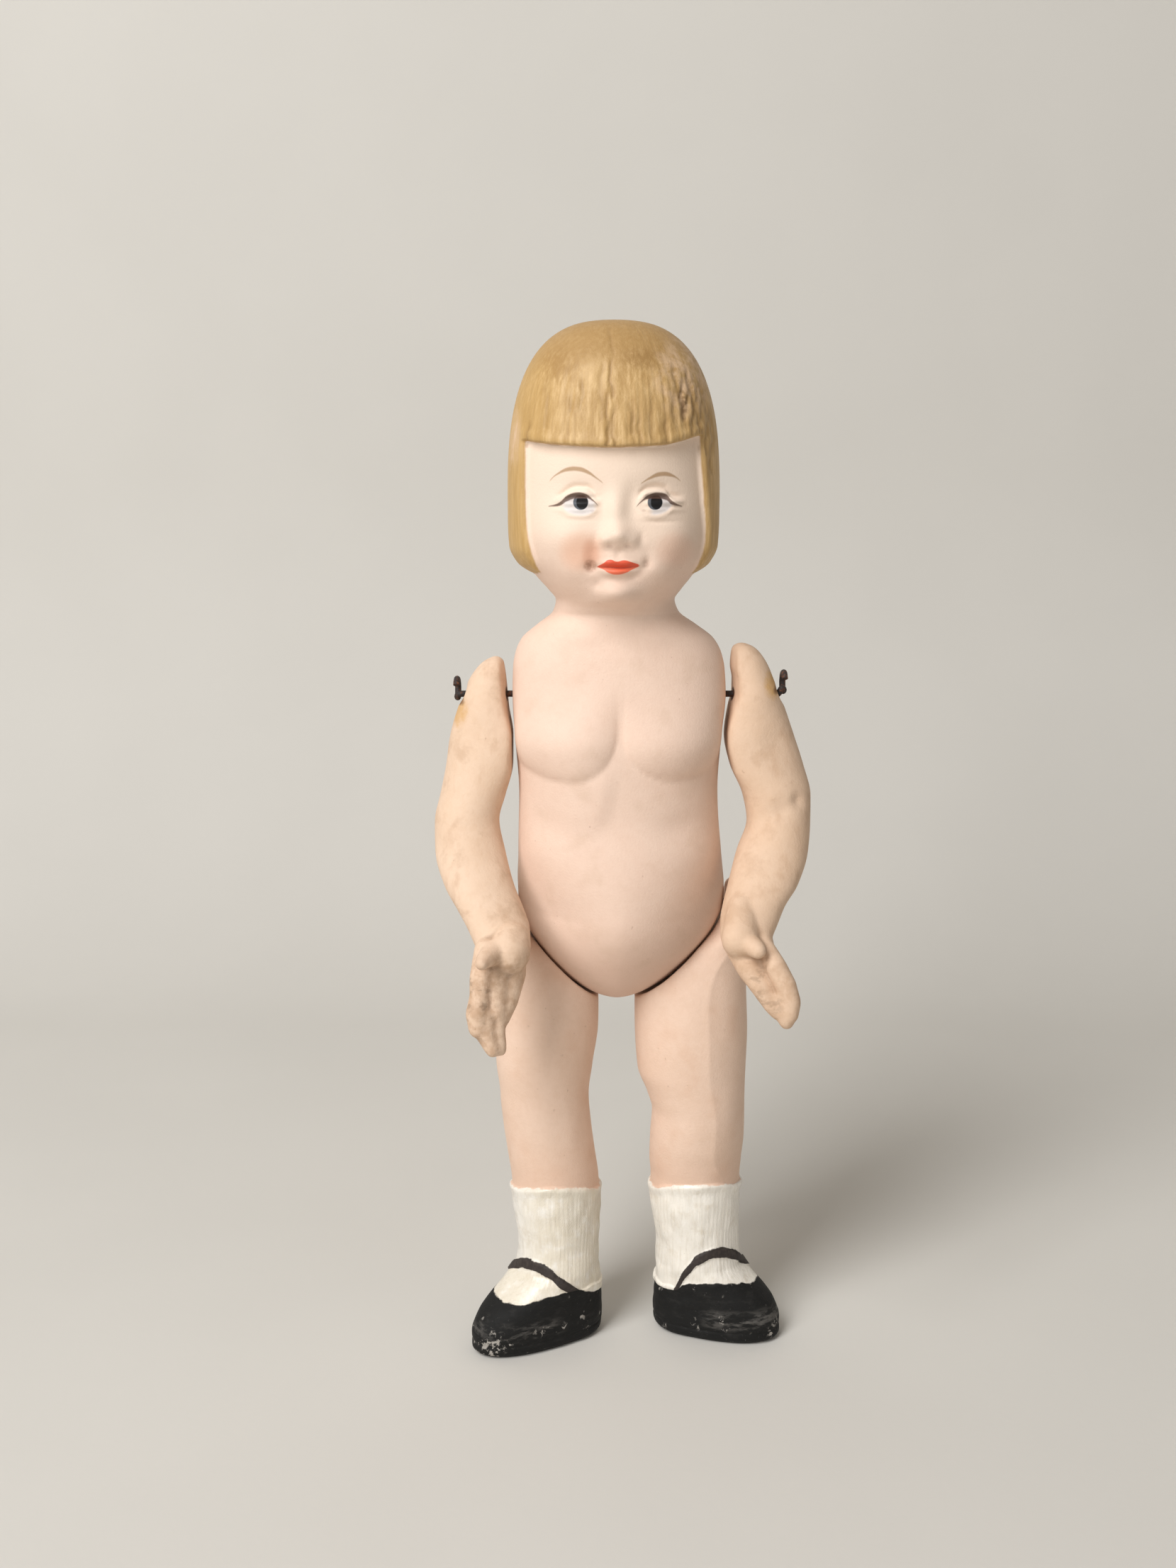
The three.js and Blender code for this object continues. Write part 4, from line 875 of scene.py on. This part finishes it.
def cast_leg(name, leg):
    """Foot, shank and thigh as one skin, its top drawn back to clear the trunk when the doll sits."""
    ankle_out, ankle_back = leg["ankle"]
    ankle = (leg["shank"][1][2] - leg["shank"][1][1]) / 2
    thigh, inner, outer, thigh_back, thigh_deep = leg["shank"][-1]

    def toe(share):
        return mix(ankle, leg["toe"], share)

    # Height, place out, setback, half width, reach of toe and heel, two powers
    foot = [(h, ankle_out, ankle_back, w, t, b, FOOT_POWER, FOOT_FLAT) for h, w, t, b in (
        (0, 6, leg["toe"] - 0.9, 6.8), (0.5, 6.5, leg["toe"] - 0.25, 7.3), (1.2, 6.8, leg["toe"], 7.55),
        (3.2, 6.9, leg["toe"], 7.7), (5, 6.95, toe(0.95), 7.65), (6.6, 6.95, toe(0.85), 7.55),
        (8, 6.95, toe(0.7), 7.45), (9, 7, toe(0.56), 7.4), (10.2, 7.05, toe(0.38), 7.35),
        (11.6, 7.1, toe(0.2), 7.3))]
    shank = [(h, (i + o) / 2, b, (o - i) / 2, d, d, 2, 0.5) for h, i, o, b, d in leg["shank"]]
    top = []
    for share, inward, depth in ((0.7, 1, 0.98), (0.5, 0.86, 0.91), (0.33, 0.52, 0.81), (0.17, 0.12, 0.7)):
        far, near = mix(HIP_OUTER, outer, share), mix(HIP_FACE, inner, inward)
        deep = depth * thigh_deep
        top.append((mix(hip_height, thigh, share), (far + near) / 2, mix(hip_back, thigh_back, share),
                    (far - near) / 2, deep, deep, 2, 0.5))
    ear = (HIP_OUTER - HIP_FACE) / 2
    for share, wide, depth in ((0, 1, 1), (0.35, 0.97, 0.94), (0.6, 0.9, 0.8), (0.8, 0.74, 0.6),
                               (0.92, 0.52, 0.4), (1, 0.12, 0.1)):
        deep = depth * EAR_RADIUS
        top.append((hip_height + share * EAR_RADIUS, HIP_FACE + ear, hip_back, wide * ear,
                    deep, deep, 2, 0.5))
    rows = [np.linspace(0, 1.2, 10), np.arange(1.3, 13.5, 0.13), np.arange(13.5, 32, 0.22),
            np.arange(32, 60, 0.5), np.arange(60, hip_height, 0.4),
            hip_height + EAR_RADIUS * np.sin(np.linspace(0, math.pi / 2, 16))]
    height = np.concatenate(rows)[:, None]
    out, setback, half, front, back, power, flat = at_heights(foot + shank + top, height)
    turn = np.arange(LEG_SIDES)[None] / LEG_SIDES * 2 * math.pi
    swing = math.radians(leg["turn"]) * ease(36, 20, height)
    across, along = oval(turn, half, front, back, power, flat)

    def turned(across, along):
        """Places outwards and back of points on the sections, as they turn out towards the foot."""
        return (out + across * np.cos(swing) - along * np.sin(swing),
                setback + across * np.sin(swing) + along * np.cos(swing))

    # Moulded relief by the angle round the ankle, from the toe
    ahead, aside = from_toe(leg, *turned(across, along))
    facing = np.degrees(np.arctan2(aside, ahead))
    strap_line = curve(*leg["strap"])(facing) + 0.15 * np.sin(facing * 0.21)
    strap = ease(STRAP_HALF + 0.12, STRAP_HALF - 0.2, np.abs(height - strap_line))
    shoe = ease(0.25, -0.1, height - curve(*leg["shoe"])(facing))
    cuff = curve(*leg["cuff"])(facing) + 0.12 * np.sin(facing * 0.09)
    sock = ease(0.15, -0.25, height - cuff) * (1 - shoe)
    strap = strap * (1 - shoe)
    ribs = np.cos(1.08 * facing + 1.2 * np.sin(height * 0.4))
    ribs = ribs * ease(0.8, 2.4, cuff - height) * ease(11, 13, height)
    relief = 0.28 * shoe + 0.35 * strap + 0.2 * sock + 0.06 * ribs * sock
    relief += 0.35 * sock * hump(cuff - height - 0.4, 1.1)
    relief += sock * 0.12 * grain(facing * 0.09, height / 2.2, 6)
    relief += 0.05 * grain(facing * 0.05, height / 5, 7)
    seam = np.exp(-np.abs(across - 2.6) / 1.6) * (along < 0) * ease(30, 33, height) * ease(80, 70, height)
    relief += leg["seam"] * seam
    relief -= shoe * (0.14 * hump(height - 2.3, 0.25) + 0.1 * grain(facing * 0.1, height / 1.4, 8))
    relief *= ease(0, 1, height)
    long = np.hypot(across, along) + 1e-6
    across, along = across + relief * across / long, along + relief * along / long
    x, y = turned(across, along)

    # Clear of the trunk at every angle of the swing
    clear = np.zeros_like(x)
    for angle in np.radians(SWING_ANGLES):
        dy, dz = y - hip_back, height - hip_height
        up = hip_height - dy * np.sin(angle) + dz * np.cos(angle)
        half = body_half(hip_back + dy * np.cos(angle) + dz * np.sin(angle), up)
        clear = np.maximum(clear, half + leg["side"] * body_lean(up) * (half > 0))
    clear = np.where(height > HOLLOW_FROM, clear, 0)
    # Darker where the top is hollowed to lie against the trunk: painted shade
    soil = np.clip(clear - x, 0, 1) * 0.5
    x = np.maximum(x, clear)
    rings = rings_of(leg["side"] * x, y, height)
    if leg["side"] < 0:
        rings, soil = rings[:, ::-1], soil[:, ::-1]
    return skin(name, rings, {"soil": soil})


def paint_leg(name, leg):
    """Pink clay above, white ribbed sock, dark strap, and a black shoe scuffed grey and chipped white."""
    material, doll, (px, py, pz) = new_finish(name)
    ahead, across = from_toe(leg, px * leg["side"], py)
    angle = across.math("ARCTAN2", ahead) * (180 / math.pi)
    wobble = doll.noise(1.4, 3) - 0.5
    edge = angle.line(leg["cuff"]) + wobble * 0.8
    colour = clay(doll, (232, 203, 182), (222, 190, 166)).coats(
        (doll.noise(6, 3).ease(0.5, 0.75), 0.3, (216, 176, 148)),
        # Painted shade on the hollowed top of the leg, against the trunk
        (doll.mark("soil"), 0.6, (150, 112, 88)),
        (doll.noise(1.5, 5, 0.7).ease(0.66, 0.76), 0.35, (150, 118, 94)),
        ((pz - edge).ease(9, 0), 0.25, (220, 178, 152)),
    )
    sock = (pz - edge).ease(0.12, -0.1)
    brush = doll.stretch(1, 1, 0.12).noise(0.6, 3, 0.6)
    aged = angle.ease(15, -45).math("MAXIMUM", pz.ease(15, 12.5)) * doll.noise(2, 3).ease(0.2, 0.55)
    white = doll.flat(243, 238, 229).coats(
        (brush.ease(0.45, 0.75), 0.45, (212, 202, 186)),
        (doll.noise(3, 4, 0.6).ease(0.52, 0.74), 0.45, (206, 193, 172)),
        (doll.noise(0.5, 1).ease(0.8, 0.83), 0.4, (140, 124, 108)),
        (aged, leg["cream"], (218, 203, 172)),
    )
    off_strap = abs(pz + wobble * 0.6 - angle.line(leg["strap"])) - STRAP_HALF
    strap = off_strap.ease(0.1, -0.08) * angle.ease(-112, -108) * angle.ease(82, 79)
    leather = doll.flat(52, 45, 42).coats((doll.noise(0.9, 3).ease(0.4, 0.7), 0.5, (76, 67, 61)))
    shoe = (pz - angle.line(leg["shoe"]) - wobble * 0.7).ease(0.12, -0.1)
    scuff = doll.stretch(1, 1, 2.5).noise(3.2, 5, 0.65)
    rim = pz.ease(7, 2) * (ahead.ease(9, 15) + across.ease(-4, -6.5) * 0.5)
    bare = (doll.noise(3, 2) + rim * leg["worn"]).ease(0.6, 0.75)
    chip = (doll.noise(0.9, 4, 0.7) + bare * 0.06).ease(0.58, 0.62) * bare
    rubbed = doll.stretch(0.6, 0.6, 2).noise(2, 4, 0.65).ease(0.45, 0.65)
    rubbed = rubbed * (abs(pz - 4.6) - 0.4).ease(2.2, 0) * ahead.ease(2, 6)
    black = doll.flat(14, 14, 13).coats(
        (scuff.ease(0.5, 0.75), 0.38, (52, 50, 48)),
        (doll.noise(0.7, 3, 0.7).ease(0.64, 0.74), 0.3, (92, 88, 85)),
        (rubbed, 0.5 - leg["worn"], (128, 124, 119)),
        (chip, 0.72, (190, 184, 176)),
    )
    colour = colour.under(sock, white).under(strap, leather).under(shoe, black)
    wet = sock * (1 - shoe) * (1 - strap)
    rough = MATTE - wet * 0.27 + shoe * 0.12 + (doll.noise(1.2, 3) - 0.5) * 0.16
    relief = doll.noise(0.35, 3, 0.6) + wet * brush * 1.6 - shoe * chip * 0.8 + shoe * scuff * 1.2
    return fire(material, colour, rough, relief, 0.06, 0.35, wet * doll.noise(2, 3).ease(0.3, 0.6) * 0.9)


for body, leg in (("right_leg", RIGHT_LEG), ("left_leg", LEFT_LEG)):
    cast = cast_leg(body + "_casting", leg)
    cast.data.materials.append(paint_leg(body + "_bisque", leg))
    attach(cast, body)
    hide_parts(body)

# Wires
# Two lengths of soft iron wire, black with rust, pushed through the limbs and the body. Each end is
# turned square outside the limb and curled into an eye, which keeps the limb from slipping off.
WIRE_RADIUS = 0.55
EYE_RADIUS = 1.6
EYE_POINTS = 22
EYE_SKEW = 0.12
BEND = 0.9
PITS = 0.05
PITS_IN_A_METRE = 1400.0
WIRE_SIDES = 14
WIRE_STEP = 0.25


def wire_tree(material):
    """A path made into a pitted round wire: named inputs set its radius and the depth of the pits."""
    group = bpy.data.node_groups.new("rusty_wire", "GeometryNodeTree")
    group.interface.new_socket("Path", in_out="INPUT", socket_type="NodeSocketGeometry")
    inputs = [group.interface.new_socket(name, in_out="INPUT", socket_type="NodeSocketFloat").identifier
              for name in ("Radius", "Pit depth")]
    group.interface.new_socket("Wire", in_out="OUTPUT", socket_type="NodeSocketGeometry")
    tree = Shade(group)
    given = group.nodes.new("NodeGroupInput").outputs
    course, radius, depth = (Shade(group, given[i]) for i in range(3))
    path = tree.node("GeometryNodeResampleCurve", {"mode": "LENGTH"},
                     {"Curve": course, "Length": WIRE_STEP / METRE})
    ring = tree.node("GeometryNodeCurvePrimitiveCircle", {}, {"Resolution": WIRE_SIDES, "Radius": radius})
    tube = tree.node("GeometryNodeCurveToMesh", {},
                     {"Curve": path, "Profile Curve": ring, "Fill Caps": True})
    pits = tree.node("TexNoise", {}, {"Scale": PITS_IN_A_METRE, "Detail": 3.0})
    normal = tree.node("GeometryNodeInputNormal")
    push = tree.node("VectorMath", {"operation": "SCALE"}, {0: normal, "Scale": (pits - 0.5) * depth})
    pitted = tree.node("GeometryNodeSetPosition", {}, {"Geometry": tube, "Offset": push})
    whole = tree.node("GeometryNodeRealizeInstances", {}, {0: pitted})
    dressed = tree.node("GeometryNodeSetMaterial", {}, {"Geometry": whole, "Material": material})
    tree.node("NodeGroupOutput", {}, {0: dressed})
    return group, *inputs


iron, doll, _ = new_finish("iron")
rusty = doll.noise(0.7, 4, 0.7)
colour = doll.flat(44, 36, 34).coats(
    (rusty.ease(0.48, 0.62), 0.85, (104, 62, 38)),
    (rusty.ease(0.64, 0.76), 0.6, (150, 88, 48)),
)
fire(iron, colour, 0.5 + rusty * 0.35, doll.noise(0.3, 4, 0.7), 0.08, 0.5)
rusty_wire, radius_input, pit_input = wire_tree(iron)


def draw_wire(name, reach, back, height, tilt, drops, longer):
    """A straight run across the doll with a curled eye at each end. Reach is the outside of the eyes,
    tilt how far they lean back, drops how far the right and the left one hang, and longer how far the
    left one stands out."""
    plane = reach - WIRE_RADIUS - EYE_SKEW
    sweep = np.radians(np.linspace(-90, 210, EYE_POINTS))
    aside, lift = EYE_RADIUS * np.cos(sweep), EYE_RADIUS * (1 + np.sin(sweep))
    lean_back, upright = math.sin(math.radians(tilt)), math.cos(math.radians(tilt))
    eye = np.stack([plane + EYE_SKEW * np.linspace(0, 1, EYE_POINTS), aside * upright + lift * lean_back,
                    lift * upright - aside * lean_back], -1)
    run = np.array([(plane - BEND, 0, 0), (plane - 0.35 * BEND, 0, 0.05)])
    half = np.concatenate([run, eye[1:]])
    hung = np.outer(half[:, 0] > plane - 0.5 * BEND, (0, 0, 1))
    right = half * (-1, 1, 1) - hung * drops[0]
    left = half + (longer, 0, 0) - hung * drops[1]
    path = np.concatenate([right[::-1], left]) + (0, back, height)
    data = bpy.data.curves.new(name, "CURVE")
    data.dimensions = "3D"
    spline = data.splines.new("POLY")
    spline.points.add(len(path) - 1)
    for point, place in zip(spline.points, (path + middle) / METRE):
        point.co = (*place, 1)
    draft = placed(name + "_path", data)
    shape = draft.modifiers.new("wire", "NODES")
    shape.node_group = rusty_wire
    shape[radius_input] = WIRE_RADIUS / METRE
    shape[pit_input] = PITS / METRE
    mesh = evaluated(draft)
    bpy.data.objects.remove(draft)
    mesh.shade_smooth()
    return placed(name, mesh)


for node, back, height, tilt, drops, longer in (
    ("shoulder_wire", 0.0, shoulder_height, 55, (0.1, -1), 1.2),
    ("hip_wire", hip_back, hip_height, 0, (0, 0), 0),
):
    low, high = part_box(node)
    wire = draw_wire(node + "_iron", (high.x - low.x) / 2 * METRE, back, height, tilt, drops, longer)
    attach(wire, "torso")
    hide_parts(node)

# Floor and light
# A pale paper sweep that runs up behind the doll, lit by one broad soft lamp high on the left and a
# weak fill, as by a window.
SWEEP_HALF = 1.6
SWEEP_FRONT = -2.4
SWEEP_BACK = 0.34
SWEEP_ROUND = 0.16
SWEEP_TOP = 1.4
WORLD_LEVEL = 0.26
LAMP_AIM = (0, 0, 0.1)
# Each lamp's place, width and height, and power
LAMPS = (("window", (-0.5, -0.66, 0.76), (0.45, 0.85), 12.1), ("fill", (0.7, -0.7, 0.35), (0.9, 0.9), 0.9))
profile = [(SWEEP_FRONT, 0.0)]
for angle in np.linspace(0, math.pi / 2, 24):
    profile.append((SWEEP_BACK - SWEEP_ROUND * (1 - math.sin(angle)), SWEEP_ROUND * (1 - math.cos(angle))))
profile.append((SWEEP_BACK, SWEEP_TOP))
corners = [(s * SWEEP_HALF, y, z) for y, z in profile for s in (-1, 1)]
sheets = [(2 * i, 2 * i + 1, 2 * i + 3, 2 * i + 2) for i in range(len(profile) - 1)]
paper_mesh = bpy.data.meshes.new("paper_sweep")
paper_mesh.from_pydata(corners, [], sheets)
paper_mesh.shade_smooth()
paper_sweep = placed("paper_sweep", paper_mesh)
paper, doll, _ = new_finish("paper")
colour = doll.flat(212, 209, 203).coats((doll.noise(60, 2).ease(0.3, 0.7), 0.3, (206, 203, 197)))
rough = 0.9 - doll.noise(40, 1) * 0.05
paper_mesh.materials.append(fire(paper, colour, rough, doll.noise(1.5, 2), 0.02, 0.1))

for name, place, size, power in LAMPS:
    lamp = placed(name, bpy.data.lights.new(name, "AREA"))
    lamp.data.shape = "RECTANGLE"
    lamp.data.size, lamp.data.size_y = size
    lamp.data.energy = power
    lamp.location = place
    aim = np.array(LAMP_AIM) - place
    raised = math.atan2(math.hypot(aim[0], aim[1]), -aim[2])
    lamp.rotation_euler = (raised, 0, math.atan2(aim[1], aim[0]) - math.pi / 2)
world = bpy.data.worlds.new("room")
world.use_nodes = True
world.node_tree.nodes["Background"].inputs[0].default_value = srgb(246, 238, 228)
world.node_tree.nodes["Background"].inputs[1].default_value = WORLD_LEVEL
bpy.context.scene.world = world
bpy.context.scene.view_settings.view_transform = "Standard"
